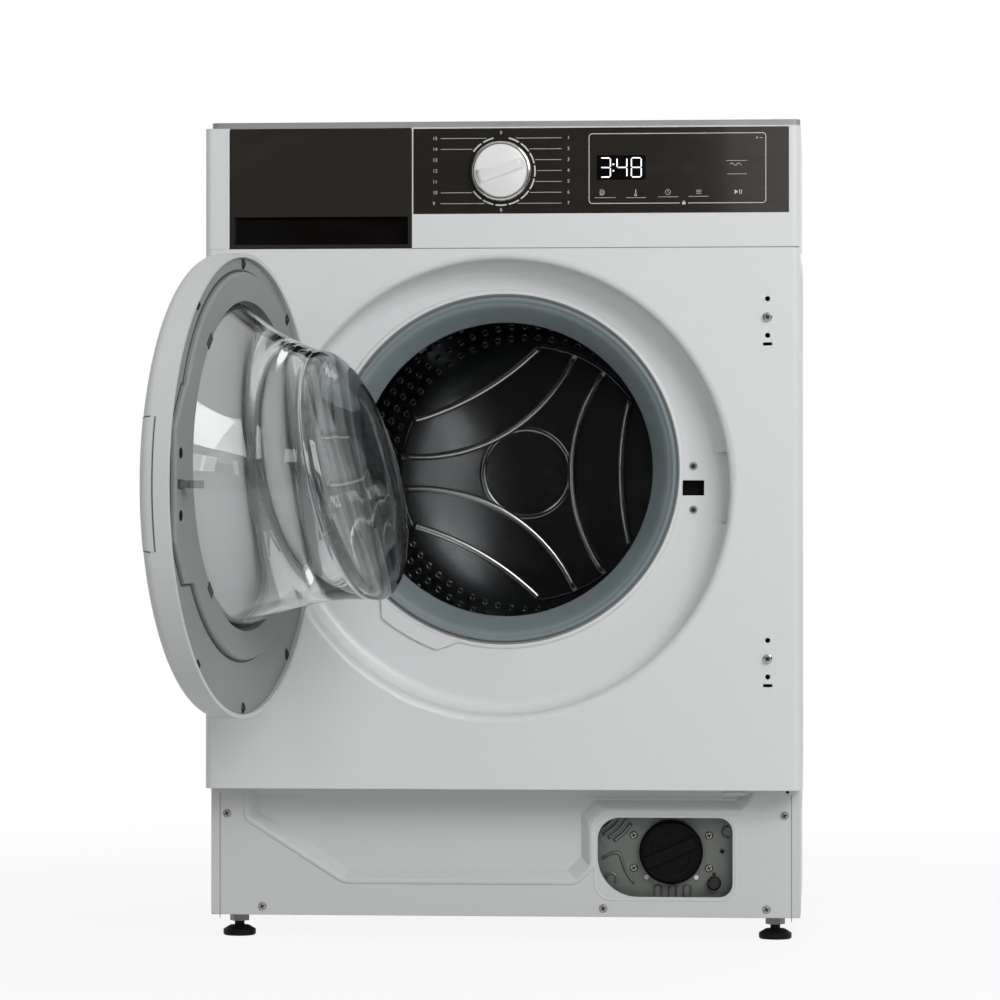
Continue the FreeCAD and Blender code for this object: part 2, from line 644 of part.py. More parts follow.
def round_edges(body, radius, chosen):
    """Round those edges of the body that a test picks."""
    DOC.recompute()
    base = body.Tip
    names = [f"Edge{number}" for number, edge in enumerate(base.Shape.Edges, start=1) if chosen(edge)]
    if not names:
        raise ValueError(f"no edge to round on {body.Label}")
    feature = body.newObject("PartDesign::Fillet", f"{body.Label}_round")
    feature.Base = (base, names)
    bind(feature, "Radius", radius)
    body.Tip = feature
    return feature


def repeat(body, feature, count, axis="Y_Axis"):
    """Repeat a feature evenly about an axis of the body's origin."""
    pattern = body.newObject("PartDesign::PolarPattern", f"{body.Label}_pattern")
    pattern.Originals = [feature]
    pattern.Axis = ([item for item in body.Origin.OriginFeatures if item.Role == axis][0], [""])
    pattern.Angle = 360
    bind(pattern, "Occurrences", count)
    body.Tip = pattern
    return pattern


def copies(label, master, places):
    """A group of like solids: links to one master piece at several places."""
    PARTS.remove(master)
    links = []
    for number, (x, y, z, axis, angle) in enumerate(places, start=1):
        link = DOC.addObject("App::Link", f"{label}_{number}")
        link.LinkedObject = master
        link.Placement = FreeCAD.Placement(FreeCAD.Vector(), FreeCAD.Rotation(FreeCAD.Vector(*axis), 1))
        bind(link, "Placement.Rotation.Angle", angle)
        place(link, x, y, z)
        links.append(link)
    return gather(label, links)


def gather(label, pieces):
    """Several solids under one name, in place of their own names."""
    PARTS[:] = [part for part in PARTS if part not in pieces]
    group = DOC.addObject("Part::Compound", label)
    group.Label = label
    group.Links = pieces
    PARTS.append(group)
    return group


UPRIGHT = (0.0, 0.0, 1.0)
ACROSS = (1.0, 0.0, 0.0)
LENGTHWISE = (0.0, 1.0, 0.0)


def near(value, level, room=0.05):
    return abs(value - float(level)) < room


# Carcass

def side_wall(side):
    """One side of the cabinet with its folded front flange and the shelf for a suspension spring."""
    body = new_body("side_wall_right" if side > 0 else "side_wall_left")
    wall = S.sheet_wall
    outside, inside, fold = (side * width for width in (HALF, HALF - wall, HALF - S.flange_width))
    pad(body, "top", S.floor_gap, TOP, Outline([
        (outside, STEP), (outside, BACK), (inside, BACK), (inside, STEP + wall), (fold, STEP + wall),
        (fold, STEP)]))
    middle, half = FRONT + S.damper_setback, S.spring_radius * 1.5
    pad(body, "top", SHELF, SHELF + 2 * wall,
        box(side * (S.spring_x - S.spring_radius), inside, middle - half, middle + half))
    pocket(body, "top", SHELF - wall, SHELF + 3 * wall,
           Circle(side * S.spring_x, middle, S.spring_wire + S.seat_gap))
    return body


def back_frame():
    """The sheet between the sides, with the opening behind the drive and the holes for water and mains."""
    body = new_body("back_frame")
    wall, hole = S.sheet_wall, S.seat_gap
    pad(body, "top", S.floor_gap, TOP, box(-HALF + wall, HALF - wall, BACK - wall, BACK))
    half = HALF - S.cover_inset - S.cover_rim
    pocket(body, "front", BACK - wall * 2, BACK + wall,
           round_box(-half, half, S.cover_low + S.cover_rim, S.cover_high - S.cover_rim, S.cover_corner),
           Circle(VALVE_X, VALVE_Z, S.inlet_radius + hole),
           Circle(GLAND_X, VALVE_Z, S.gland_neck + S.run_gap),
           Circle(HALF - S.pipe_inset, S.filter_height, S.pipe_radius + hole))
    return body


def cabinet_wrap():
    gather("cabinet_wrap", [side_wall(-1), side_wall(1), back_frame()])


def rear_cover():
    body = new_body("rear_cover")
    half = HALF - S.cover_inset
    wall, edge = S.sheet_wall, S.cover_rim * 1.8
    pad(body, "front", BACK, REAR, round_box(-half, half, S.cover_low, S.cover_high, S.cover_corner))
    pad(body, "front", REAR - S.cover_press - wall, BACK,
        round_box(-half + edge, half - edge, S.cover_low + edge, S.cover_high - edge, S.cover_corner))
    inner = edge + wall
    pocket(body, "front", REAR - S.cover_press, REAR,
           round_box(-half + inner, half - inner, S.cover_low + inner, S.cover_high - inner,
                     S.cover_corner - wall))


def top_lid():
    body = new_body("top_lid")
    front, wall = STEP + S.lid_setback, S.sheet_wall
    pad(body, "top", TOP, S.overall_height, round_box(-HALF, HALF, front, BACK, S.panel_edge))
    pocket(body, "top", TOP, S.overall_height - wall,
           round_box(-HALF + wall, HALF - wall, front + wall, BACK - wall, S.panel_edge - wall))


def foot_places():
    front = STEP + S.foot_setback
    back = REAR - S.foot_rear_inset
    across = HALF - S.foot_inset
    return {"front_left": (-across, front), "front_right": (across, front),
            "rear_left": (-across, back), "rear_right": (across, back)}


def base_pan():
    body = new_body("base_pan")
    wall = S.sheet_wall
    across, front, back = HALF - wall, STEP + wall, BACK - wall
    pad(body, "top", S.floor_gap, S.floor_gap + S.pan_height, box(-across, across, front, back))
    pocket(body, "top", S.floor_gap + wall, S.floor_gap + S.pan_height,
           box(-across + wall, across - wall, front + wall, back - wall))
    pocket(body, "top", S.floor_gap - wall, S.floor_gap + 2 * wall,
           *[Circle(x, y, S.stud_radius + S.seat_gap) for x, y in foot_places().values()])


def feet():
    for corner, (x, y) in foot_places().items():
        body = new_body(f"foot_{corner}")
        top, rim, stud = S.foot_pad, S.foot_radius, S.stud_radius
        edge, tip = rim * 0.08, top + S.stud_length
        spin(body, x, y, Outline([
            (0, 0), (rim - edge, 0), (rim, edge), (rim, top * 0.6), (rim * 0.6, top), (stud, top),
            (stud, tip), (0, tip)]))


def foot_nuts():
    nut = new_body("foot_nut")
    corners = []
    for number in range(6):
        angle = math.radians(60 * number)
        corners.append((S.nut_radius * math.cos(angle), S.nut_radius * math.sin(angle)))
    pad(nut, "top", 0, S.nut_height, Outline(corners), Circle(0, 0, S.stud_radius + S.run_gap))
    low = S.floor_gap - S.nut_height
    copies("foot_nuts", nut, [(x, y, low, UPRIGHT, 0) for x, y in foot_places().values()])


# Front panel and plinth

def dish_face():
    """Profile of the dish as seen from the front: rounded mouth, straight wall, rounded foot."""
    mouth, fillet, wall = S.dish_mouth, S.dish_fillet, S.dish_radius
    before = FRONT - S.sheet_wall
    return Outline([
        (before, 0), (before, wall + mouth), (FRONT, wall + mouth), (FRONT + mouth, wall, mouth),
        (FLOOR - fillet, wall), (FLOOR, wall - fillet, -fillet), (FLOOR, 0)])


def dish_back():
    """Profile of the dish's back, a sheet's thickness behind its face."""
    mouth, fillet, thick = S.dish_mouth, S.dish_fillet, S.sheet_wall
    wall = S.dish_radius + thick
    front = FRONT + thick
    return Outline([
        (FRONT + thick / 2, 0), (FRONT + thick / 2, wall + mouth), (front, wall + mouth),
        (front + mouth, wall), (FLOOR - fillet, wall), (FLOOR - fillet * 0.4, wall - fillet * 0.1),
        (FLOOR + thick, wall - fillet * 0.8), (FLOOR + thick, 0)])


def front_outline(inset):
    """Plan of the front's box, which is open to the back and rounded along its side edges."""
    edge = S.panel_edge
    return Outline([
        (-HALF + inset, STEP), (-HALF + inset, FRONT + edge), (-HALF + edge, FRONT + inset, edge - inset),
        (HALF - edge, FRONT + inset), (HALF - inset, FRONT + edge, edge - inset), (HALF - inset, STEP)])


def round_port(radius, degrees):
    """A point in front view at an angle and a distance from the port axis."""
    angle = math.radians(degrees)
    return radius * math.cos(angle), S.port_height + radius * math.sin(angle)


EMBOSS_ENDS = (255.5, 226.0)
EMBOSS_SIDES = (249.5, 230.5)


def emboss_outline():
    """The raised field between port and dish below the hinge: two arcs round the port, joined by slants."""
    first, last = [round_port(S.emboss_near, degrees) for degrees in EMBOSS_ENDS]
    start, stop = [round_port(S.emboss_far, degrees) for degrees in EMBOSS_SIDES]
    return Outline([(*first, S.emboss_near), start, (*stop, -S.emboss_far), last])


def finger_notch(body):
    """Square off the dish's rounded foot beside the latch, where fingers reach behind the door."""
    wall, rim, fillet = S.sheet_wall, S.dish_radius, S.dish_fillet
    inner, high = rim - fillet - wall, FLOOR - fillet - wall
    behind = Outline([
        (inner, FLOOR), (rim, FLOOR), (rim, high), (rim + wall, high), (rim + wall, FLOOR + wall),
        (inner, FLOOR + wall)])
    for kind, outline, angle in (("Revolution", behind, S.notch_angle * 1.05),
                                 ("Groove", box(inner, rim, high, FLOOR), S.notch_angle)):
        feature = body.newObject(f"PartDesign::{kind}", f"{body.Label}_notch")
        drawing = sketch(body, "top", S.dish_height, [outline])
        feature.Profile = drawing
        feature.ReferenceAxis = (drawing, ["V_Axis"])
        bind(feature, "Angle", angle)
        feature.Midplane = True
        body.Tip = feature


def front_panel():
    body = new_body("front_panel")
    wall = S.sheet_wall
    pad(body, "top", S.plinth_top, FASCIA_FOOT, front_outline(as_size(0)))
    pocket(body, "top", S.plinth_top + wall, FASCIA_FOOT - wall, front_outline(wall))
    turn(body, 0, S.dish_height, dish_back())
    groove(body, 0, S.dish_height, dish_face())
    finger_notch(body)
    bead = S.port_bead + S.bead_width
    turn(body, 0, S.port_height, Outline([
        (FLOOR + wall / 2, S.port_bead), (FLOOR, S.port_bead), (FLOOR, bead, -S.bead_round),
        (FLOOR + wall / 2, bead)]))
    pad(body, "front", FLOOR - S.emboss_rise, FLOOR, emboss_outline())
    slot_half = S.lock_slot_width / 2
    tall = S.lock_slot_tall / 2
    pocket(body, "front", FLOOR - wall, FLOOR + 2 * wall,
           Circle(0, S.port_height, S.port_radius),
           box(S.lock_x - slot_half, S.lock_x + slot_half, S.dish_height - tall, S.dish_height + tall),
           *[Circle(S.lock_x, S.dish_height + side * S.lock_screws / 2, S.screw_shank + S.run_gap)
             for side in (-1, 1)])
    holes = []
    for height in (S.fixing_high, S.fixing_low):
        half = S.fixing_slot_width / 2
        middle = height - S.fixing_drop
        holes += [Circle(FIXING_X, height + side * S.fixing_spacing / 2, S.fixing_hole) for side in (-1, 1)]
        holes.append(Circle(FIXING_X, height, S.screw_shank + S.run_gap))
        holes.append(box(FIXING_X - half, FIXING_X + half,
                         middle - S.fixing_slot_tall / 2, middle + S.fixing_slot_tall / 2))
    pocket(body, "front", FRONT - wall, FRONT + 2 * wall, *holes)


def furniture_studs():
    stud = new_body("furniture_stud")
    reach, head = S.fixing_stud_reach, S.fixing_stud
    turn(stud, 0, 0, Outline([
        (-reach, 0), (-reach, head * 0.55), (-reach * 0.8, head * 0.7), (-reach * 0.45, head * 0.7),
        (-reach * 0.35, head), (0, head), (0, S.screw_shank), (S.sheet_wall, S.screw_shank),
        (S.sheet_wall, 0)]))
    copies("furniture_studs", stud,
           [(FIXING_X, FRONT, z, UPRIGHT, 0) for z in (S.fixing_high, S.fixing_low)])


def plinth_screws():
    """Places of the plinth's screws: two at its sides, three along its foot."""
    low, high = S.floor_gap + S.plinth_screw_low, S.floor_gap + S.plinth_screw_high
    side = HALF - S.plinth_screw_inset
    return [(-side, high), (side, high), (-HALF + S.plinth_screw_left, low),
            (FILTER_X - S.cut_width / 2, low), (HALF - S.plinth_screw_right, low)]


def toe_recess(shrink):
    """Outline of the plinth's pressed toe recess, drawn in by a wall where asked."""
    left = -HALF + S.toe_inset
    high = S.plinth_top - S.toe_top
    border, notch = S.cut_border, S.toe_notch
    rise = CUT_HIGH + border
    edge = CUT_LEFT - border
    return Outline([
        (left + shrink, high - shrink), (left + shrink, high - S.toe_end + shrink / 2),
        (left + S.toe_slant + shrink / 2, S.toe_bottom + shrink),
        (edge - notch - shrink, S.toe_bottom + shrink), (edge - shrink, S.toe_bottom + notch + shrink),
        (edge - shrink, rise - notch + shrink), (edge + notch - shrink, rise + shrink),
        (CUT_RIGHT + border - shrink, rise + shrink), (CUT_RIGHT + 2.5 * border - 2 * shrink, high - shrink)])


def cut_outline():
    """Filter cut-out of the plinth, with a wide lower left corner."""
    corner, high, low = S.cut_corner, S.cut_corner_high, S.cut_corner_low
    return Outline([
        (CUT_LEFT + low, CUT_LOW, low), (CUT_RIGHT - corner, CUT_LOW), (CUT_RIGHT, CUT_LOW + corner, corner),
        (CUT_RIGHT, CUT_HIGH - corner), (CUT_RIGHT - corner, CUT_HIGH, corner), (CUT_LEFT + high, CUT_HIGH),
        (CUT_LEFT, CUT_HIGH - high, high), (CUT_LEFT, CUT_LOW + low)])


def plinth_panel():
    body = new_body("plinth_panel")
    wall, corner = S.sheet_wall, S.plinth_corner
    pad(body, "front", STEP - wall, STEP, Outline([
        (-HALF + corner, S.floor_gap, corner), (HALF - corner, S.floor_gap),
        (HALF, S.floor_gap + corner, corner), (HALF, S.plinth_top), (-HALF, S.plinth_top),
        (-HALF, S.floor_gap + corner)]))
    pad(body, "front", STEP, STEP + S.toe_depth, toe_recess(as_size(0)))
    press = body.newObject("PartDesign::SubtractiveLoft", "toe_press")
    press.Profile = sketch(body, "front", STEP - wall, [toe_recess(as_size(0))])
    press.Sections = [sketch(body, "front", STEP + S.toe_depth - wall, [toe_recess(S.toe_slope)])]
    body.Tip = press
    pocket(body, "front", STEP - 2 * wall, STEP + wall, cut_outline(),
           *[Circle(x, z, S.screw_shank + S.run_gap) for x, z in plinth_screws()])


def filter_plate_screws():
    return [(FILTER_X + across * S.filter_screw_x, S.filter_height + up * S.filter_screw_z)
            for across in (-1, 1) for up in (-1, 1)]


def filter_plate():
    body = new_body("filter_plate")
    wall, rim = S.sheet_wall, S.filter_plate_rim
    left, right, low, high = CUT_LEFT - rim, CUT_RIGHT + rim, CUT_LOW - rim, CUT_HIGH + rim - wall
    pad(body, "front", STEP, PLATE + wall, round_box(left, right, low, high, S.cut_corner))
    pocket(body, "front", STEP, PLATE,
           round_box(left + wall, right - wall, low + wall, high - wall, S.cut_corner - wall))
    pocket(body, "front", PLATE - wall, PLATE + 2 * wall,
           Circle(FILTER_X, S.filter_height, S.filter_bore + S.seat_gap),
           *[Circle(x, z, S.screw_shank + S.run_gap) for x, z in filter_plate_screws()])


def filter_housing():
    body = new_body("filter_housing")
    back = PLATE + S.sheet_wall + S.filter_length
    outer = S.filter_bore + S.filter_wall
    turn(body, FILTER_X, S.filter_height, Outline([
        (PLATE + S.sheet_wall, S.filter_bore), (PLATE + S.sheet_wall, outer), (back, outer),
        (back, 0), (back - S.filter_wall, 0), (back - S.filter_wall, S.filter_bore)]))
    middle = FRONT + S.hose_setback
    top = S.filter_height + outer + S.port_reach
    inside = S.hose_radius - S.hose_wall
    pad(body, "top", top - 2 * S.port_reach, top, Circle(FILTER_X, middle, inside - S.seat_gap))
    pocket(body, "top", S.filter_height, top + S.filter_wall, Circle(FILTER_X, middle, S.spout_bore))


def filter_cap():
    body = new_body("filter_cap")
    back = PLATE - S.seat_gap
    front = back - S.cap_thick
    plug = S.filter_bore - S.seat_gap
    turn(body, FILTER_X, S.filter_height, Outline([
        (front, 0), (front, S.filter_radius - S.cap_edge), (front + S.cap_edge, S.filter_radius),
        (back, S.filter_radius), (back, plug), (back + S.cap_plug, plug), (back + S.cap_plug, 0)]))
    pad(body, "front", front - S.cap_grip, front,
        bar(FILTER_X, S.filter_height, S.filter_radius * 1.7, S.cap_grip_width, float(S.grip_angle)))


def drain_plug():
    body = new_body("drain_plug")
    radius, tip = S.drain_plug_radius, PLATE - S.drain_plug_reach
    turn(body, CUT_RIGHT - S.drain_plug_inset, CUT_LOW + S.drain_plug_rise, Outline([
        (tip, 0), (tip, radius * 0.7), (tip + S.cap_edge, radius), (PLATE, radius), (PLATE, 0)]))


def drain_pump():
    body = new_body("drain_pump")
    front = PLATE + S.sheet_wall + S.filter_length
    back = front + S.pump_length
    turn(body, FILTER_X, S.filter_height, Outline([
        (front, 0), (front, S.pump_radius), (front + S.pump_length * 0.4, S.pump_radius),
        (front + S.pump_length * 0.4, S.pump_radius * 0.75), (back, S.pump_radius * 0.75), (back, 0)]))
    pad(body, "side", FILTER_X, FILTER_X + S.pump_radius + S.port_reach,
        Circle(front + S.pump_length * 0.2, S.filter_height, S.pipe_radius))


def drain_pipe():
    """Pipe from the pump's side to a spigot beyond the cabinet's back, with one bend."""
    start_x = float(FILTER_X + S.pump_radius + S.port_reach)
    end_x = float(HALF - S.pipe_inset)
    y = float(PLATE + S.sheet_wall + S.filter_length + S.pump_length * 0.2)
    z, bend = float(S.filter_height), float(S.pipe_bend)
    bend = min(bend, (end_x - start_x) * 0.9)
    slope = bend * (1 - math.sqrt(0.5))
    corner = [FreeCAD.Vector(end_x - bend, y, z), FreeCAD.Vector(end_x - slope, y + slope, z),
              FreeCAD.Vector(end_x, y + bend, z)]
    path = Part.Wire([
        Part.LineSegment(FreeCAD.Vector(start_x, y, z), corner[0]).toShape(),
        Part.Arc(*corner).toShape(),
        Part.LineSegment(corner[2], FreeCAD.Vector(end_x, float(REAR), z)).toShape()])
    outer, spigot, bore = float(S.pipe_radius), float(S.spigot_radius), float(S.pipe_bore)
    tubes = []
    for radius in (outer, bore):
        ring = Part.Circle(FreeCAD.Vector(start_x, y, z), FreeCAD.Vector(*ACROSS), radius).toShape()
        tubes.append(path.makePipeShell([Part.Wire([ring])], True, False))
    end = FreeCAD.Vector(end_x, float(REAR), z)
    stub, hollow = [Part.makeCylinder(radius, float(S.spigot_length), end, FreeCAD.Vector(*LENGTHWISE))
                    for radius in (spigot, bore)]
    pipe = DOC.addObject("Part::Feature", "drain_pipe")
    pipe.Shape = tubes[0].fuse(stub).cut(tubes[1]).cut(hollow)
    pipe.Placement = FreeCAD.Placement()
    PARTS.append(pipe)


def sump_hose():
    """Ribbed hose that hangs between the tub's spout and the filter housing's port."""
    body = new_body("sump_hose")
    low = S.filter_height + S.filter_bore + S.filter_wall + S.hose_wall
    inmost = FILTER_X - S.hose_radius - S.hose_rib
    high = S.port_height - (S.tub_radius * S.tub_radius - inmost * inmost).root() - S.tub_travel * 1.3
    inner, outer = S.hose_radius - S.hose_wall, S.hose_radius
    cuff = S.hose_cuff
    count = int(float(S.hose_ribs))
    pitch = (high - low - cuff * 2) / count
    outside = [(inner, low), (outer, low), (outer, low + cuff)]
    for number in range(count):
        foot = low + cuff + pitch * number
        outside += [(outer + S.hose_rib, foot + pitch * 0.35), (outer + S.hose_rib, foot + pitch * 0.65),
                    (outer, foot + pitch)]
    spin(body, FILTER_X, FRONT + S.hose_setback, Outline(outside + [(outer, high), (inner, high)]))


# Fascia, drawer and controls

def control_fascia():
    body = new_body("control_fascia")
    wall, foot = S.fascia_wall, FASCIA_FOOT
    divide = DRAWER_RIGHT + S.drawer_reveal
    pad(body, "top", foot, TOP, front_outline(as_size(0)))
    pocket(body, "front", FRONT + S.glass_thick + wall, STEP,
           box(divide + wall, HALF - wall, foot + wall, TOP - wall))
    pocket(body, "front", WEB_BACK, STEP, box(-HALF + wall, divide, foot + wall, TOP - wall))
    pocket(body, "front", FRONT - wall, WEB_FRONT,
           box(DRAWER_LEFT - S.drawer_reveal, divide, foot - wall, TOP + wall))
    pocket(body, "front", WEB_FRONT - wall, WEB_BACK + wall, box(
        TRAY_LEFT - S.drawer_reveal, TRAY_RIGHT + S.drawer_reveal, TRAY_FLOOR - S.seat_gap,
        TRAY_TOP + S.drawer_reveal))
    pocket(body, "front", FRONT - wall, FRONT + S.glass_thick,
           box(GLASS_LEFT, HALF - S.glass_inset, foot + S.glass_low, TOP - S.glass_top))
    pocket(body, "front", FRONT, FRONT + 3 * wall, Circle(0, KNOB_Z, S.shaft_radius + S.seat_gap))


def control_glass():
    body = new_body("control_glass")
    pad(body, "front", FRONT, FRONT + S.glass_thick,
        box(GLASS_LEFT, HALF - S.glass_inset, FASCIA_FOOT + S.glass_low, TOP - S.glass_top),
        Circle(0, KNOB_Z, S.shaft_radius + S.seat_gap))
    pocket(body, "front", FRONT, FRONT + S.window_thick, window_outline())


def window_outline():
    half, tall = S.window_width / 2, S.window_tall / 2
    middle = KNOB_Z + S.window_lift
    return box(S.window_x - half, S.window_x + half, middle - tall, middle + tall)


def display_window():
    body = new_body("display_window")
    pad(body, "front", FRONT, FRONT + S.window_thick, window_outline())


def control_board():
    body = new_body("control_board")
    front = FRONT + S.board_setback
    inner = FRONT + S.glass_thick + S.fascia_wall
    margin = S.fascia_wall * 3
    pad(body, "front", front, front + S.board_thick,
        box(GLASS_LEFT + margin, HALF - S.glass_inset - margin * 2, FASCIA_FOOT + margin, TOP - margin))
    pad(body, "front", inner, front, Circle(0, KNOB_Z, S.barrel_radius), window_outline())
    pocket(body, "front", inner, front, Circle(0, KNOB_Z, S.shaft_radius + S.run_gap))


def selector_knob():
    body = new_body("selector_knob")
    base = FRONT - S.knob_lift
    skirt, face = base - S.knob_skirt, base - S.knob_height
    turn(body, 0, KNOB_Z, Outline([
        (base, 0), (base, S.knob_radius), (skirt + 1, S.knob_radius), (skirt, S.knob_radius - 1),
        (skirt, S.knob_cap), (face + 3, S.knob_cap - 1), (face, S.knob_cap - 4), (face, 0)]))
    pad(body, "front", face - S.knob_grip, face,
        bar(as_size(0), KNOB_Z, S.knob_cap * 1.66, S.knob_grip_width, float(S.grip_angle)))
    pocket(body, "front", skirt, base + 1, Circle(0, KNOB_Z, S.shaft_radius + S.run_gap))


def knob_shaft():
    body = new_body("knob_shaft")
    start = FRONT - S.knob_lift - S.knob_skirt
    pad(body, "front", start, FRONT + S.board_setback - 2, Circle(0, KNOB_Z, S.shaft_radius))


def drawer_front():
    body = new_body("drawer_front")
    low = FASCIA_FOOT + S.drawer_reveal
    recess = FASCIA_FOOT + S.pull_low
    pad(body, "front", FRONT, TRAY_FRONT, box(DRAWER_LEFT, DRAWER_RIGHT, low, TOP - S.drawer_reveal / 2))
    left, right = DRAWER_LEFT + S.pull_side, DRAWER_RIGHT - S.pull_side
    high = recess + S.pull_tall
    pocket(body, "front", FRONT - 1, FRONT + S.pull_depth, box(left, right, recess, high))
    pocket(body, "front", FRONT + S.pull_depth / 2, FRONT + S.pull_depth,
           box(left + S.pull_lip, right - S.pull_lip, high - 1, high + S.pull_lip))


def drawer_tray():
    body = new_body("drawer_tray")
    wall = S.tray_wall
    pad(body, "top", TRAY_FLOOR, TRAY_TOP, box(TRAY_LEFT, TRAY_RIGHT, TRAY_FRONT, TRAY_BACK))
    split = TRAY_LEFT + S.siphon_width + wall
    pocket(body, "top", TRAY_FLOOR + wall, TRAY_TOP,
           box(TRAY_LEFT + wall, split, TRAY_FRONT + wall, TRAY_BACK - wall * 2 - S.siphon_length),
           siphon_room(as_size(0)),
           box(split + wall, TRAY_RIGHT - wall, TRAY_FRONT + wall, TRAY_BACK - wall))


def siphon_room(gap):
    wall = S.tray_wall
    split = TRAY_LEFT + S.siphon_width + wall
    back = TRAY_BACK - wall
    return box(TRAY_LEFT + wall + gap, split - gap, back - S.siphon_length + gap, back - gap)


def siphon_cap():
    body = new_body("siphon_cap")
    wall = S.tray_wall
    level = TRAY_FLOOR + S.tray_tall * 0.7
    pad(body, "top", level, level + wall, siphon_room(S.seat_gap))
    pad(body, "top", TRAY_FLOOR + wall, level,
        Circle(TRAY_LEFT + wall + S.siphon_width / 2, TRAY_BACK - wall - S.siphon_length / 2, S.siphon_stem))


def dispenser_housing():
    body = new_body("dispenser_housing")
    wall, reveal = S.tray_wall, S.drawer_reveal
    left, right = TRAY_LEFT - reveal, TRAY_RIGHT + reveal
    low, high = TRAY_FLOOR - S.seat_gap, TRAY_TOP + reveal
    pad(body, "front", WEB_BACK, HOUSING_BACK, box(left - wall, right + wall, low - wall, high + wall))
    pocket(body, "front", WEB_BACK, HOUSING_BACK - wall, box(left, right, low, high))
    pocket(body, "front", HOUSING_BACK - 2 * wall, HOUSING_BACK + wall, Circle(VALVE_X, VALVE_Z, S.fill_bore))


def fill_hose():
    body = new_body("fill_hose")
    pad(body, "front", HOUSING_BACK, BACK - S.sheet_wall - S.valve_depth,
        Circle(VALVE_X, VALVE_Z, S.fill_radius), Circle(VALVE_X, VALVE_Z, S.fill_bore))


def inlet_valve():
    body = new_body("inlet_valve")
    wall_face = BACK - S.sheet_wall
    half = S.valve_width / 2
    pad(body, "front", wall_face - S.valve_depth, wall_face,
        round_box(VALVE_X - half, VALVE_X + half, VALVE_Z - half, VALVE_Z + half, S.valve_corner))
    relief = BACK + S.inlet_relief
    pad(body, "front", wall_face, relief, Circle(VALVE_X, VALVE_Z, S.inlet_radius - S.inlet_relief))
    pad(body, "front", relief, BACK + S.inlet_reach, Circle(VALVE_X, VALVE_Z, S.inlet_radius))
    pocket(body, "front", BACK, BACK + S.inlet_reach, Circle(VALVE_X, VALVE_Z, S.inlet_radius * 0.7))


def mains_gland():
    body = new_body("mains_gland")
    pad(body, "front", BACK, BACK + S.gland_thick, Circle(GLAND_X, VALVE_Z, S.gland_radius),
        Circle(GLAND_X, VALVE_Z, S.gland_bore))
    pad(body, "front", BACK - S.sheet_wall - S.gland_thick, BACK, Circle(GLAND_X, VALVE_Z, S.gland_neck),
        Circle(GLAND_X, VALVE_Z, S.gland_bore))


# Door, drawn shut round its hinge axis: X is the distance from the axis, Y the depth behind it

def ear_levels():
    """Lower and upper level of each of the bracket's two ears."""
    start, end, middle = S.ear_near, S.ear_near + S.ear_tall, S.dish_height
    return [(middle - end, middle - start), (middle + start, middle + end)]


def cut_hinge_notch(body):
    """Notch in the door's edge round the hinge knuckles, open to the side that turns away."""
    margin, knuckle = S.slot_margin, S.knuckle_radius
    half = S.ear_near + S.ear_tall + S.arm_tall + margin
    pocket(body, "top", S.dish_height - half, S.dish_height + half,
           box(-knuckle * 3, knuckle * 1.8, -knuckle * 2, S.door_back * 1.2))


def cut_ear_slots(body):
    """Slots in the ring that the fixed hinge ears pass through when the door is shut."""
    margin = S.slot_margin
    for low, high in ear_levels():
        pocket(body, "top", low - margin, high + margin,
               box(S.knuckle_radius, S.slot_reach, S.door_wall, S.door_back * 1.2))


def door_cover():
    body = door_body("door_cover")
    front, edge, rim = -S.door_front, S.door_round, S.door_radius
    turn(body, DOOR_MIDDLE, S.dish_height, Outline([
        (front, 0), (front, rim - edge), (front + edge, rim, -edge), (S.door_back, rim),
        (S.door_back, rim - S.door_lip), (front + S.door_wall, rim - S.door_lip), (front + S.door_wall, 0)]))
    cut_hinge_notch(body)


def ring_screw_places():
    """Places of the door ring's screws on their circle, in degrees from the latch side."""
    places = []
    for degrees in (52.0, 90.0, 129.0, 231.0, 270.0, 308.0):
        angle = math.radians(degrees)
        places.append((DOOR_MIDDLE + S.ring_screw_circle * math.cos(angle),
                       S.dish_height + S.ring_screw_circle * math.sin(angle)))
    return places


def door_ring():
    body = door_body("door_ring")
    level, back = S.ring_level, S.ring_level - S.ring_plate
    outer = S.door_radius - S.door_lip - S.run_gap
    pad(body, "front", back, level, Circle(DOOR_MIDDLE, S.dish_height, outer))
    half, reach = S.plateau_tall / 2, S.plateau_reach
    pad(body, "front", level, level + S.plateau_rise, Circle(DOOR_MIDDLE, S.port_height, S.plateau_radius))
    pad(body, "front", level, level + S.plateau_rise, Outline([
        (DOOR_MIDDLE, S.dish_height - half * 1.4), (DOOR_MIDDLE + reach * 0.86, S.dish_height - half * 1.4),
        (DOOR_MIDDLE + reach, S.dish_height - half * 0.8), (DOOR_MIDDLE + reach, S.dish_height + half * 0.8),
        (DOOR_MIDDLE + reach * 0.86, S.dish_height + half * 1.4), (DOOR_MIDDLE, S.dish_height + half * 1.4)]))
    round_edges(body, S.plateau_round, lambda edge: all(
        near(vertex.Y, level + S.plateau_rise) for vertex in edge.Vertexes))
    hook, plate = S.hook_thick, S.ring_plate
    pocket(body, "front", back - plate, level + S.plateau_rise + plate,
           Circle(DOOR_MIDDLE, S.port_height, S.ring_bore),
           box(HOOK_U - hook * 1.6, HOOK_U + hook * 1.2, S.dish_height - hook * 0.6,
               S.dish_height + hook * 0.6),
           *[Circle(u, z, S.screw_shank + S.run_gap) for u, z in ring_screw_places()])
    cut_hinge_notch(body)
    cut_ear_slots(body)


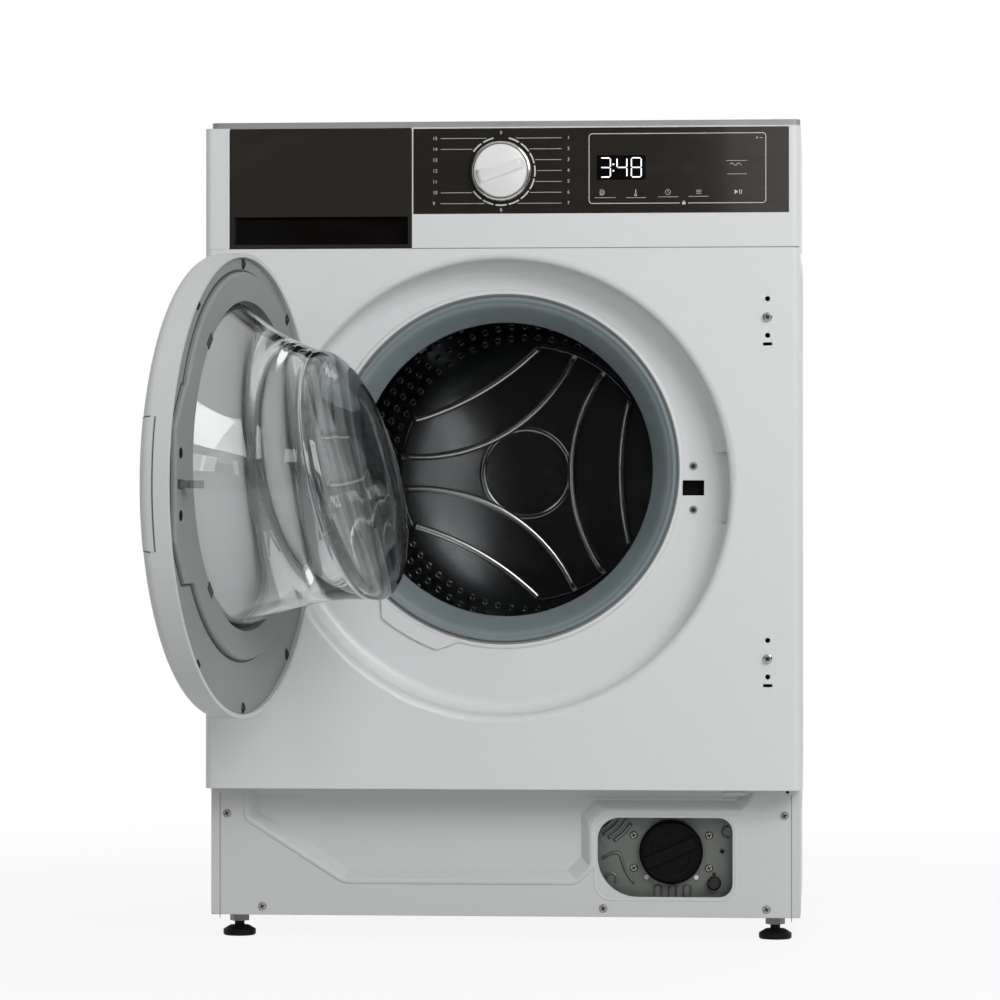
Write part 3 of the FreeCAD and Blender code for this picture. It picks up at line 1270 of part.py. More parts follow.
def door_screws():
    screw = new_body("ring_screw")
    turn(screw, 0, 0, Outline([
        (0, S.screw_shank), (0, S.ring_screw), (S.screw_rise, S.ring_screw * 0.7), (S.screw_rise, 0),
        (-S.ring_plate, 0), (-S.ring_plate, S.screw_shank)]))
    group = copies("door_screws", screw,
                   [(u, S.ring_level, z, UPRIGHT, 0) for u, z in ring_screw_places()])
    hang_on_door(group)


def door_glass():
    """Glass bowl: a rounded cone with a flange, hollowed by a like cone that ends short of the rounding."""
    seat = S.ring_level - S.ring_plate
    back = seat - S.bowl_flange_thick
    wall = S.glass_wall
    body = door_body("door_glass")
    pad(body, "front", back, seat, Circle(DOOR_MIDDLE, S.port_height, S.bowl_flange))
    loft_bowl(body, "AdditiveLoft", seat, S.bowl_radius, S.bowl_end, as_size(0))
    round_edges(body, S.bowl_round, end_edge(S.bowl_end))
    loft_bowl(body, "SubtractiveLoft", back, S.bowl_radius - wall, S.bowl_end - wall, wall * 2)


def end_edge(radius):
    """Test for the round edge of the bowl's tilted end."""
    def chosen(edge):
        return isinstance(edge.Curve, Part.Circle) and near(edge.Curve.Radius, radius, 0.01)
    return chosen


def loft_bowl(body, kind, start, base, end, inset):
    """Cone of the glass bowl between the ring and its tilted end, which lies deeper at the foot."""
    foot = sketch(body, "front", start, [Circle(DOOR_MIDDLE, S.port_height, base)])
    depth = S.ring_level - S.ring_plate + S.bowl_depth - inset
    tip = sketch(body, "front", depth, [Circle(0, 0, end)], shift=(DOOR_MIDDLE, S.port_height - S.bowl_drop))
    tip.AttachmentOffset = FreeCAD.Placement(FreeCAD.Vector(), FreeCAD.Rotation(FreeCAD.Vector(*ACROSS), 1))
    bind(tip, "AttachmentOffset.Rotation.Angle", S.bowl_tilt)
    feature = body.newObject(f"PartDesign::{kind}", f"{body.Label}_bowl")
    feature.Profile = foot
    feature.Sections = [tip]
    body.Tip = feature


def hinge_arm():
    """Moving half of the hinge: two knuckles on risers, joined by a strip behind the door ring."""
    body = door_body("hinge_arm")
    back = S.ring_level - S.ring_plate
    front = back - S.arm_thick
    start = S.ear_near + S.ear_tall + S.seat_gap
    end = start + S.arm_tall
    reach, knuckle = S.arm_reach, S.knuckle_radius
    inner = knuckle - S.arm_thick
    pad(body, "front", front, back, box(reach - knuckle, reach, S.dish_height - end, S.dish_height + end))
    middle, strip = S.dish_height, reach - knuckle / 2
    for low, high in ((middle - end, middle - start), (middle + start, middle + end)):
        pad(body, "top", low, high, Outline([
            (inner, 0), (knuckle, 0), (knuckle, front), (strip, front), (strip, back), (inner, back)]))
        pad(body, "top", low, high, Circle(0, 0, knuckle))
        pocket(body, "top", low - knuckle, high + knuckle, Circle(0, 0, S.pin_radius + S.run_gap))


def hinge_pin():
    body = new_body("hinge_pin")
    pad(body, "top", S.dish_height - S.pin_half, S.dish_height + S.pin_half,
        Circle(-S.hinge_x, HINGE_Y, S.pin_radius))


def bracket_screws():
    middle = -S.bracket_near - S.bracket_width / 2
    return [(middle, S.dish_height + side * (S.bracket_half - 2 * S.screw_head)) for side in (-1, 1)]


def hinge_bracket():
    body = new_body("hinge_bracket")
    face = FLOOR - S.bracket_plate
    right, left = -S.bracket_near, -S.bracket_near - S.bracket_width
    pad(body, "front", face, FLOOR,
        box(left, right, S.dish_height - S.bracket_half, S.dish_height + S.bracket_half),
        *[Circle(x, z, S.screw_shank + S.run_gap) for x, z in bracket_screws()])
    knuckle, axis = S.knuckle_radius, -S.hinge_x
    root = FLOOR - S.bracket_plate / 2
    for low, high in ear_levels():
        pad(body, "top", low, high, Outline([
            (axis - knuckle * 0.6, HINGE_Y + knuckle * 0.8), (axis + knuckle * 0.6, HINGE_Y - knuckle * 0.8),
            (right - S.bracket_plate / 2, root), (left, root)]))
        pad(body, "top", low, high, Circle(axis, HINGE_Y, knuckle))
        pocket(body, "top", low - knuckle, high + knuckle, Circle(axis, HINGE_Y, S.pin_radius + S.run_gap))


def door_hook():
    body = door_body("door_hook")
    half = S.hook_thick / 2
    barrel = half
    axis = S.ring_level - S.ring_plate - S.seat_gap - barrel
    tip = axis + S.hook_reach
    pad(body, "top", S.dish_height - half * 2.6, S.dish_height + half * 2.6, Circle(HOOK_U, axis, barrel))
    pad(body, "top", S.dish_height - half, S.dish_height + half, Outline([
        (HOOK_U - half * 0.8, axis), (HOOK_U + half * 0.8, axis), (HOOK_U + half * 0.8, tip - 11),
        (HOOK_U + half * 2.0, tip - 11), (HOOK_U + half * 2.0, tip - 7), (HOOK_U, tip),
        (HOOK_U - half * 0.8, tip - 4)]))


def door_lock():
    body = new_body("door_lock")
    start = FLOOR + S.sheet_wall
    half = S.lock_slot_width / 2
    tall = S.lock_slot_tall / 2
    reach = S.lock_screws / 2 + S.screw_head * 2
    pad(body, "front", start, start + S.lock_depth, box(
        S.lock_x - half - S.lock_frame, S.lock_x + half + S.lock_frame * 2,
        S.dish_height - reach, S.dish_height + reach))
    pocket(body, "front", start, start + S.lock_depth - 2,
           box(S.lock_x - half, S.lock_x + half, S.dish_height - tall, S.dish_height + tall))


def panel_screws():
    screw = new_body("panel_screw")
    rise, head = S.screw_rise, S.screw_head
    turn(screw, 0, 0, Outline([
        (-rise, 0), (-rise, head * 0.7), (0, head), (0, S.screw_shank), (S.sheet_wall, S.screw_shank),
        (S.sheet_wall, 0)]))
    places = [(x, STEP - S.sheet_wall, z, UPRIGHT, 0) for x, z in plinth_screws()]
    places += [(x, PLATE, z, UPRIGHT, 0) for x, z in filter_plate_screws()]
    places += [(S.lock_x, FLOOR, S.dish_height + side * S.lock_screws / 2, UPRIGHT, 0) for side in (-1, 1)]
    places += [(x, FLOOR - S.bracket_plate, z, UPRIGHT, 0) for x, z in bracket_screws()]
    copies("panel_screws", screw, places)


# Gasket and tub

def gasket():
    body = new_body("gasket")
    front, mouth = FLOOR - S.gasket_bead, FLOOR + S.gasket_throat
    wall = S.gasket_wall
    back = FLOOR + S.sheet_wall
    grip = back + S.clamp_width + 2
    cuff = S.collar_radius + S.run_gap
    end = TUB_FRONT - wall
    turn(body, 0, S.port_height, Outline([
        (front + 1.5, S.gasket_lip), (FLOOR, S.gasket_lip), (FLOOR, S.port_radius - S.seat_gap),
        (back, S.port_radius - S.seat_gap), (back, S.gasket_lip - 1), (grip, S.gasket_lip - 1),
        (grip, S.gasket_mouth + wall * 4), (mouth - wall, S.gasket_mouth + wall * 1.5),
        (mouth - wall, cuff + wall), (end, cuff + wall), (end, cuff), (mouth, cuff),
        (mouth, S.gasket_mouth), (mouth - 1.5, S.gasket_mouth - 0.5),
        (front, S.port_radius - 3), (front, S.gasket_lip - 1.5)]))


def gasket_clamp():
    """Band that holds the gasket's cuff on the tub's collar."""
    body = new_body("gasket_clamp")
    inner = S.collar_radius + S.gasket_wall + 2 * S.run_gap
    end = TUB_FRONT - S.gasket_wall * 2
    turn(body, 0, S.port_height, Outline([
        (end - S.clamp_width, inner), (end, inner), (end, inner + S.clamp_wall),
        (end - S.clamp_width, inner + S.clamp_wall)]))


def tub_wall_below(x):
    """Height of the middle of the tub's wall, straight below or above a point beside the axis."""
    middle = S.tub_radius - S.tub_wall / 2
    return (middle * middle - x * x).root()


def tub_front():
    body = new_body("tub_front")
    wall, rim = S.tub_wall, S.tub_radius
    collar = S.collar_radius
    turn(body, 0, S.port_height, Outline([
        (TUB_FRONT - S.collar_length, collar - wall), (TUB_FRONT - S.collar_length, collar),
        (TUB_FRONT, collar), (TUB_FRONT, rim), (TUB_SPLIT - S.rib_thick, rim),
        (TUB_SPLIT - S.rib_thick, rim + S.rib_reach), (TUB_SPLIT, rim + S.rib_reach), (TUB_SPLIT, rim - wall),
        (TUB_FRONT + wall, rim - wall), (TUB_FRONT + wall, collar - wall)]))
    middle = FRONT + S.hose_setback
    meet = S.port_height - tub_wall_below(FILTER_X)
    pad(body, "top", S.spout_low, meet, Circle(FILTER_X, middle, S.spout_radius))
    pocket(body, "top", S.spout_low - 1, meet + S.tub_wall * 3, Circle(FILTER_X, middle, S.spout_bore))


def tub_rear():
    body = new_body("tub_rear")
    wall, rim = S.tub_wall, S.tub_radius
    inside = TUB_BACK - wall
    hub = S.hub_radius
    first = inside - S.bearing_inset
    web = first + S.bearing_width
    second = web + S.bearing_span
    end = second + S.bearing_width
    seat = S.bearing_outer + S.run_gap
    turn(body, 0, S.port_height, Outline([
        (TUB_SPLIT, rim - wall), (TUB_SPLIT, rim + S.rib_reach), (TUB_SPLIT + S.rib_thick, rim + S.rib_reach),
        (TUB_SPLIT + S.rib_thick, rim), (TUB_BACK, rim), (TUB_BACK, hub), (end, hub), (end, seat),
        (second, seat), (second, S.hub_step), (web, S.hub_step), (web, seat), (first, seat), (first, hub),
        (inside, hub), (inside, rim - wall)]))
    middle = FRONT + S.damper_setback
    half = S.damper_block / 2
    for side in (-1, 1):
        pad(body, "top", S.damper_head, S.port_height - tub_wall_below(S.damper_x + half),
            box(side * (S.damper_x - half), side * (S.damper_x + half), middle - half, middle + half))
        lug = S.spring_radius
        pad(body, "top", S.spring_low - 2 * lug, S.spring_low, box(
            side * (S.spring_x - lug * 0.9), side * (S.spring_x + lug * 0.9), middle - lug, middle + lug))
        pocket(body, "top", S.spring_low - 2 * lug - 1, S.spring_low + 1,
               Circle(side * S.spring_x, middle, S.spring_wire + S.seat_gap))
        hang = S.hanger_near
        start = PULLEY_FRONT - S.motor_gap - S.motor_length
        pad(body, "top", S.port_height - S.hanger_low, S.port_height - tub_wall_below(hang + S.hanger_thick),
            box(side * hang, side * (hang + S.hanger_thick), start + S.motor_length * 0.3,
                start + S.motor_length * 0.7))
    slot = S.heater_rod * 2
    pocket(body, "front", inside - 1, TUB_BACK + 1, box(
        -S.heater_half - slot, S.heater_half + slot, S.port_height - S.heater_drop - slot,
        S.port_height - S.heater_drop + slot))


def front_weight():
    body = new_body("front_weight")
    front = TUB_FRONT - S.weight_thick
    turn(body, 0, S.port_height, Outline([
        (front, S.weight_inner), (TUB_FRONT, S.weight_inner), (TUB_FRONT, S.weight_outer),
        (front, S.weight_outer)]), angle=S.weight_angle)


def bearings():
    ring = new_body("bearing")
    pad(ring, "front", 0, S.bearing_width,
        Circle(0, 0, S.bearing_outer), Circle(0, 0, S.shaft_drum + S.run_gap))
    first = TUB_BACK - S.tub_wall - S.bearing_inset
    second = first + S.bearing_width + S.bearing_span
    copies("bearings", ring, [(0, y, S.port_height, UPRIGHT, 0) for y in (first, second)])


def heater():
    body = new_body("heater")
    half, rod = S.heater_half, S.heater_rod
    level = S.port_height - S.heater_drop
    end = TUB_BACK + 12
    tip = end - S.heater_length
    spine = sketch(body, "top", level, [])
    corners = [(half, end), (half, tip + half), (0, tip, -half), (-half, tip + half, -half), (-half, end)]
    draw_path(spine, corners)
    profile = sketch(body, "front", end, [Circle(half, level, rod)])
    feature = body.newObject("PartDesign::AdditivePipe", "heater_pipe")
    feature.Profile = profile
    feature.Spine = spine
    body.Tip = feature
    slot = rod * 2
    pad(body, "front", TUB_BACK, TUB_BACK + rod, box(
        -half - slot * 1.5, half + slot * 1.5, level - slot * 1.5, level + slot * 1.5))


def draw_path(drawing, corners):
    """Draw an open path through corners, with arcs given as in an outline."""
    corners = [tuple(as_size(value) for value in corner) for corner in corners]
    geometry, rules, drives, ends = [], [], [], []
    for corner, following in zip(corners, corners[1:]):
        start = FreeCAD.Vector(float(corner[0]), float(corner[1]), 0)
        stop = FreeCAD.Vector(float(following[0]), float(following[1]), 0)
        if len(following) == 3:
            geometry.append(arc_between(start, stop, float(following[2])))
            ends.append((1, 2) if float(following[2]) > 0 else (2, 1))
        else:
            geometry.append(Part.LineSegment(start, stop))
            ends.append((1, 2))
    for index, corner in enumerate(corners[:-1]):
        pin_point(rules, drives, index, ends[index][0], corner[0], corner[1])
        if index:
            rules.append(Sketcher.Constraint("Coincident", index - 1, ends[index - 1][1],
                                             index, ends[index][0]))
        following = corners[index + 1]
        if len(following) == 3:
            radius = following[2] if float(following[2]) > 0 else -following[2]
            drive(rules, drives, Sketcher.Constraint("Radius", index, float(radius)), radius)
    last = len(geometry) - 1
    pin_point(rules, drives, last, ends[last][1], corners[-1][0], corners[-1][1])
    drawing.addGeometry(geometry, False)
    drawing.addConstraint(rules)
    for index, value in drives:
        drawing.setExpression(f"Constraints[{index}]", value.text)


def damper_places():
    middle = FRONT + S.damper_setback
    return [(side * S.damper_x, middle, 0, UPRIGHT, 0) for side in (-1, 1)]


def dampers():
    cylinder = new_body("damper_cylinder")
    half = S.damper_block / 2
    top = S.damper_foot + S.damper_length
    bore = S.damper_rod + S.run_gap
    spin(cylinder, 0, 0, Outline([
        (0, S.damper_foot), (S.damper_radius, S.damper_foot), (S.damper_radius, top), (bore, top),
        (bore, S.damper_foot + 12), (0, S.damper_foot + 12)]))
    pad(cylinder, "top", S.floor_gap + S.sheet_wall, S.damper_foot, box(-half, half, -half * 0.7, half * 0.7))
    copies("damper_cylinders", cylinder, damper_places())
    rod = new_body("damper_rod")
    low = S.damper_foot + S.damper_length * 0.4
    pad(rod, "top", low, S.damper_head - half, Circle(0, 0, S.damper_rod))
    pad(rod, "top", S.damper_head - half * 1.6, S.damper_head, box(-half, half, -half * 0.7, half * 0.7))
    copies("damper_rods", rod, damper_places())


def suspension_springs():
    """Two hanging springs: a stem in the tub's lug, the close-wound sleeve, and a stem in the shelf."""
    spring = new_body("suspension_spring")
    wire, sleeve = S.spring_wire, S.spring_radius + S.spring_wire
    low, high = S.spring_low, SHELF
    stem = S.spring_radius * 1.6
    foot, top = low - 2 * S.spring_radius, high + 2 * S.sheet_wall
    head = 2 * wire
    spin(spring, 0, 0, Outline([
        (0, foot - head), (head, foot - head), (head, foot), (wire, foot), (wire, low + stem),
        (sleeve, low + stem + sleeve / 2), (sleeve, high - stem - sleeve / 2), (wire, high - stem),
        (wire, top), (head, top), (head, top + head), (0, top + head)]))
    middle = FRONT + S.damper_setback
    copies("suspension_springs", spring, [(side * S.spring_x, middle, 0, UPRIGHT, 0) for side in (-1, 1)])


# Drum

LIFTERS = 3


def drum_shell():
    body = new_body("drum_shell")
    outer, wall, mouth = S.drum_radius, S.drum_wall, S.drum_mouth
    turn(body, 0, S.port_height, Outline([
        (DRUM_FRONT, mouth), (DRUM_FRONT, outer), (DRUM_BACK, outer), (DRUM_BACK, outer - wall),
        (DRUM_FRONT + wall, outer - wall), (DRUM_FRONT + wall, mouth + wall),
        (DRUM_FRONT + S.drum_hem, mouth + wall), (DRUM_FRONT + S.drum_hem, mouth)]))


def star_cylinder(label, radius, reach, depth, start, soft):
    """A disc with three scalloped sides, as a boolean of plain cylinders, with its front edges rounded."""
    disc = cylinder_along(f"{label}_disc", radius, depth, 0, 0, start)
    arc, away = reach
    bites = []
    for number in range(LIFTERS):
        angle = math.radians(360 / LIFTERS * number)
        bites.append(cylinder_along(f"{label}_bite_{number}", arc, depth * 2, (arc + away) * math.cos(angle),
                                    (arc + away) * math.sin(angle), start - depth / 2))
    tool = DOC.addObject("Part::MultiFuse", f"{label}_bites")
    tool.Shapes = bites
    cut = DOC.addObject("Part::Cut", f"{label}_sharp")
    cut.Base, cut.Tool = disc, tool
    DOC.recompute()
    fillet = DOC.addObject("Part::Fillet", label)
    fillet.Base = cut
    fillet.Edges = [(number, float(soft), float(soft)) for number, edge in enumerate(cut.Shape.Edges, start=1)
                    if all(near(vertex.Y, start) for vertex in edge.Vertexes)]
    return fillet


def cylinder_along(label, radius, length, x, z, start):
    """Cylinder along Y, round a point beside the drum axis."""
    piece = DOC.addObject("Part::Cylinder", label)
    piece.Placement = FreeCAD.Placement(FreeCAD.Vector(), FreeCAD.Rotation(FreeCAD.Vector(*ACROSS), -90))
    bind(piece, "Radius", radius)
    bind(piece, "Height", length)
    place(piece, x, start, z)
    return piece


def drum_back():
    """Pressed drum back: a flat rim, and a two-step star whose hollow side faces the spider."""
    wall, step, soft = S.drum_wall * 1.2, S.star_step, S.star_round
    face = DRUM_BACK - wall
    top = face - 2 * step
    plate = cylinder_along("drum_plate", S.drum_radius - S.drum_wall - S.run_gap, wall, 0, 0, face)
    low = star_cylinder("star_low", S.star_radius, (S.outer_arc, S.outer_near), step, face - step, soft)
    high = star_cylinder("star_high", S.star_radius, (S.inner_arc, S.inner_near), 2 * step, top, soft)
    solid = DOC.addObject("Part::MultiFuse", "drum_back_solid")
    solid.Shapes = [plate, low, high]
    inside, hollow = S.star_radius - wall, soft - wall
    low_room = star_cylinder("star_low_room", inside, (S.outer_arc + wall, S.outer_near - wall),
                             step + wall, face - step + wall, hollow)
    high_room = star_cylinder("star_high_room", inside, (S.inner_arc + wall, S.inner_near - wall),
                              2 * step + wall, top + wall, hollow)
    rooms = DOC.addObject("Part::MultiFuse", "star_rooms")
    rooms.Shapes = [low_room, high_room]
    seat = cylinder_along("boss_seat", S.boss_radius + S.boss_press, S.boss_seat, 0, 0, top)
    free = DOC.addObject("Part::Cut", "star_free")
    free.Base, free.Tool = rooms, seat
    press = cylinder_along("boss_press", S.boss_radius, S.boss_press * 2, 0, 0, top - S.boss_press)
    tool = DOC.addObject("Part::MultiFuse", "drum_back_tools")
    tool.Shapes = [free, press]
    cut = DOC.addObject("Part::Cut", "drum_back")
    cut.Base, cut.Tool = solid, tool
    bind(cut, "Placement.Base.z", S.port_height)
    PARTS.append(cut)


def lifters():
    lifter = new_body("lifter")
    base = S.drum_radius - S.drum_wall - 1.6
    start = DRUM_FRONT + (S.drum_length - S.lifter_length) / 3 + S.drum_hem
    pad(lifter, "front", start, start + S.lifter_length, Outline([
        (base, -S.lifter_base), (base, S.lifter_base), (S.lifter_top + S.lifter_round, S.lifter_crest),
        (S.lifter_top, S.lifter_crest * 0.4), (S.lifter_top, -S.lifter_crest * 0.4),
        (S.lifter_top + S.lifter_round, -S.lifter_crest)]))
    turns = [S.lifter_turn + 360 / LIFTERS * number for number in range(LIFTERS)]
    copies("lifters", lifter, [(0, 0, S.port_height, LENGTHWISE, -turned) for turned in turns])


def spider_shaft():
    body = new_body("spider_shaft")
    end = PULLEY_BACK + 4
    thick = S.spider_thick
    turn(body, 0, 0, Outline([
        (DRUM_BACK, 0), (DRUM_BACK, S.spider_hub), (DRUM_BACK + thick, S.spider_hub),
        (DRUM_BACK + thick, S.shaft_drum), (end, S.shaft_drum), (end, 0)]))
    half = S.spider_width / 2
    arm = pad(body, "front", DRUM_BACK, DRUM_BACK + thick * 0.8, Outline([
        (-S.spider_hub * 0.5, -half), (-S.spider_hub * 0.5, half), (-S.spider_reach, half * 0.7),
        (-S.spider_reach, -half * 0.7)]))
    repeat(body, arm, LIFTERS)
    bind(body, "Placement.Base.z", S.port_height)


# Drive

def pulley():
    body = new_body("pulley")
    rim, hub = S.pulley_radius, S.pulley_hub
    middle = PULLEY_FRONT + S.pulley_width / 2
    web = S.pulley_web / 2
    bore = S.shaft_drum + S.run_gap
    turn(body, 0, 0, Outline([
        (PULLEY_FRONT, bore), (PULLEY_FRONT, hub), (middle - web, hub), (middle - web, rim - S.pulley_rim),
        (PULLEY_FRONT, rim - S.pulley_rim), (PULLEY_FRONT, rim), (PULLEY_BACK, rim),
        (PULLEY_BACK, rim - S.pulley_rim), (middle + web, rim - S.pulley_rim), (middle + web, hub),
        (PULLEY_BACK, hub), (PULLEY_BACK, bore)]))
    inner = rim - S.pulley_rim
    hole = pocket(body, "front", PULLEY_FRONT, PULLEY_BACK,
                  Circle((inner + hub) / 2, 0, (inner - hub) * 0.38))
    repeat(body, hole, S.pulley_holes)
    bind(body, "Placement.Base.z", S.port_height)


def belt_loop(grow):
    """Outline of the belt's inner or outer face round both pulleys."""
    big, small = S.pulley_radius + grow, S.motor_pulley + grow
    lean = (S.pulley_radius - S.motor_pulley) / S.motor_drop
    level = (1 - lean * lean).root()
    high, low = S.port_height, MOTOR_Z
    return Outline([
        (big * level, high - big * lean), (0, high + big, big), (-big * level, high - big * lean, big),
        (-small * level, low - small * lean), (0, low - small, small),
        (small * level, low - small * lean, small)])


def drive_belt():
    body = new_body("drive_belt")
    start = PULLEY_FRONT + (S.pulley_width - S.belt_width) / 2
    pad(body, "front", start, start + S.belt_width, belt_loop(S.run_gap + S.belt_thick), belt_loop(S.run_gap))


def motor_body():
    body = new_body("motor_body")
    back = PULLEY_FRONT - S.motor_gap
    front = back - S.motor_length
    rim = S.motor_radius
    turn(body, 0, MOTOR_Z, Outline([
        (front, 0), (front, rim * 0.7), (front + S.motor_bevel, rim), (back - S.motor_bevel, rim),
        (back, rim * 0.7), (back, S.motor_shaft + S.run_gap),
        (front + S.motor_seat, S.motor_shaft + S.run_gap), (front + S.motor_seat, 0)]))
    pad(body, "top", MOTOR_Z + rim * 0.72, S.port_height - S.hanger_low + S.hanger_thick, box(
        -S.hanger_near, S.hanger_near, front + S.motor_length * 0.3, front + S.motor_length * 0.7))


def motor_rotor():
    body = new_body("motor_rotor")
    start = PULLEY_FRONT - S.motor_gap - S.motor_length + S.motor_seat + S.seat_gap
    turn(body, 0, MOTOR_Z, Outline([
        (start, 0), (start, S.motor_shaft), (PULLEY_FRONT, S.motor_shaft), (PULLEY_FRONT, S.motor_pulley),
        (PULLEY_BACK, S.motor_pulley), (PULLEY_BACK, 0)]))


PIECES = [
    cabinet_wrap, rear_cover, top_lid, base_pan, feet, foot_nuts, front_panel, furniture_studs, plinth_panel,
    filter_plate, filter_housing, filter_cap, drain_plug, drain_pump, drain_pipe, sump_hose, control_fascia,
    control_glass, display_window, control_board, selector_knob, knob_shaft, drawer_front, drawer_tray,
    siphon_cap, dispenser_housing, fill_hose, inlet_valve, mains_gland, door_cover, door_ring, door_screws,
    door_glass, hinge_arm, hinge_pin, hinge_bracket, door_hook, door_lock, panel_screws, gasket, gasket_clamp,
    tub_front, tub_rear, front_weight, bearings, heater, dampers, suspension_springs, drum_shell, drum_back,
    lifters, spider_shaft, pulley, drive_belt, motor_body, motor_rotor,
]


def check_document():
    """Stop if any object failed, any piece is not a sound solid or any cut removed nothing."""
    for item in DOC.Objects:
        if "Invalid" in item.State or "Error" in item.State:
            raise RuntimeError(f"{item.Label} failed: {item.State}")
        if item.TypeId in ("PartDesign::Pocket", "PartDesign::Groove", "PartDesign::SubtractiveLoft"):
            if item.Shape.Volume > item.BaseFeature.Shape.Volume - 1e-3:
                raise RuntimeError(f"{item.Label} removes nothing")
    for part in PARTS:
        if part.Shape.isNull() or not part.Shape.isValid() or not part.Shape.Solids:
            raise RuntimeError(f"{part.Label} has no valid solid")


def write_parts():
    os.makedirs("parts", exist_ok=True)
    for part in PARTS:
        part.Shape.exportStep(f"parts/{part.Label}.step")


for make in PIECES:
    make()
DOC.recompute()
check_document()
write_parts()
print(len(PARTS), "pieces written")
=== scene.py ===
import json
import math

import bmesh
import bpy
from mathutils import Matrix, Vector

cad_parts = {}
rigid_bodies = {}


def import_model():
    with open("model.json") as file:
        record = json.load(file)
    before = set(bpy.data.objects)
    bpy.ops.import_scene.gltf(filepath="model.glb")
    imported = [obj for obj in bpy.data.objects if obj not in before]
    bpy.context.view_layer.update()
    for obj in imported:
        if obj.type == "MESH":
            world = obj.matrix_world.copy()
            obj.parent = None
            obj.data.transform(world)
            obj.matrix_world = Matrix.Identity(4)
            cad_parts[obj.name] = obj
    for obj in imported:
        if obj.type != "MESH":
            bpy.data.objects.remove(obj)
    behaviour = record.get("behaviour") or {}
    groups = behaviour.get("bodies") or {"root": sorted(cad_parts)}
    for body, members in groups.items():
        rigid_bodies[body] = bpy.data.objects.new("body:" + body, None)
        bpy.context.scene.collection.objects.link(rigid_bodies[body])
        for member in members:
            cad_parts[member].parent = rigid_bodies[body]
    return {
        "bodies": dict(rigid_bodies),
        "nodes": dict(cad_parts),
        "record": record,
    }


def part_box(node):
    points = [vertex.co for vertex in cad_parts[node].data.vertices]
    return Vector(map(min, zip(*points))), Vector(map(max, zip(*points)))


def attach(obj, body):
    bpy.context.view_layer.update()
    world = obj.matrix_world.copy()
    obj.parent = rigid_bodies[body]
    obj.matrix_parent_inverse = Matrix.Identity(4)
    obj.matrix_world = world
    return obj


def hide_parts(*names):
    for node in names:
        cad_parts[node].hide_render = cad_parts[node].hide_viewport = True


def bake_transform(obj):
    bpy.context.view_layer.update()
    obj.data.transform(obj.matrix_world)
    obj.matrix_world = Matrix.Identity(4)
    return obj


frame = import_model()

NODES = frame["nodes"]
for leftover in set(bpy.data.objects) - set(NODES.values()) - set(frame["bodies"].values()):
    bpy.data.objects.remove(leftover)
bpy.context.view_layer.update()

bl_info = {
    "name": "Built-in Washing Machine",
    "version": (1, 0, 0),
    "blender": (4, 5, 0),
    "location": "View3D > Sidebar > Washing Machine",
    "description": "Finishes and small parts of a built-in washing machine",
    "category": "Object",
}

# Sizes and places in millimetres: depths are Y, and upright places are (X, Z)
MM = 0.001
FRONT = -270.0                  # face of the front panel, the fascia and the control glass
STEP = -224.0                   # front of the cabinet sides
SHEET = 1.2                     # steel sheet
PLINTH_FACE = STEP - SHEET
PLINTH_RECESS = 10.0            # depth of the plinth's toe recess
PLATE = -200.0                  # face of the filter plate
DISH_FLOOR = -226.0             # floor of the door dish
REAR = 270.0                    # outside of the rear cover
BACK_SKIN = 268.8               # back of the cabinet beside the rear cover
PRINT = 0.08                    # printed marks before their face
KNOB = (0.0, 769.7)
PORT = (0.0, 473.0)
FILTER = (167.3, 86.7)
HINGE = (-213.2, -261.8)        # upright hinge axis as (X, Y)
DOOR_MIDDLE = (0.0, 454.0)      # of the shut door
DOOR_OPEN = math.radians(-101.0)
DOOR_RADIUS = 221.5
RING_FACE = HINGE[1] + 22.8     # of the shut door
RING_SCREWS = 211.5             # radius of the circle of the door ring's screws
LOCK_X = 190.3
FORWARD = (0, -1, 0)
BACKWARD = (0, 1, 0)


# Finishes

def linear(colour):
    """Display colour as the light values that a shader takes."""
    return tuple(part / 12.92 if part <= 0.04045 else ((part + 0.055) / 1.055) ** 2.4 for part in colour)


def shade(colour, by):
    return tuple(min(part * by, 1.0) for part in colour)


class Value:
    """Output socket of a finish that can stand in a sum."""

    def __init__(self, finish, socket):
        self.finish = finish
        self.socket = socket

    def apply(self, operation, first, second):
        return self.finish.node("ShaderNodeMath", {"operation": operation}, {0: first, 1: second})

    def __add__(self, other):
        return self.apply("ADD", self, other)

    def __rsub__(self, other):
        return self.apply("SUBTRACT", other, self)

    def __mul__(self, other):
        return self.apply("MULTIPLY", self, other)

    __radd__ = __add__
    __rmul__ = __mul__

    def between(self, low, high):
        """0 below low, 1 above high and even between them."""
        return self.finish.node("ShaderNodeMapRange", {"interpolation_type": "SMOOTHSTEP"},
                                {0: self, 1: low, 2: high})


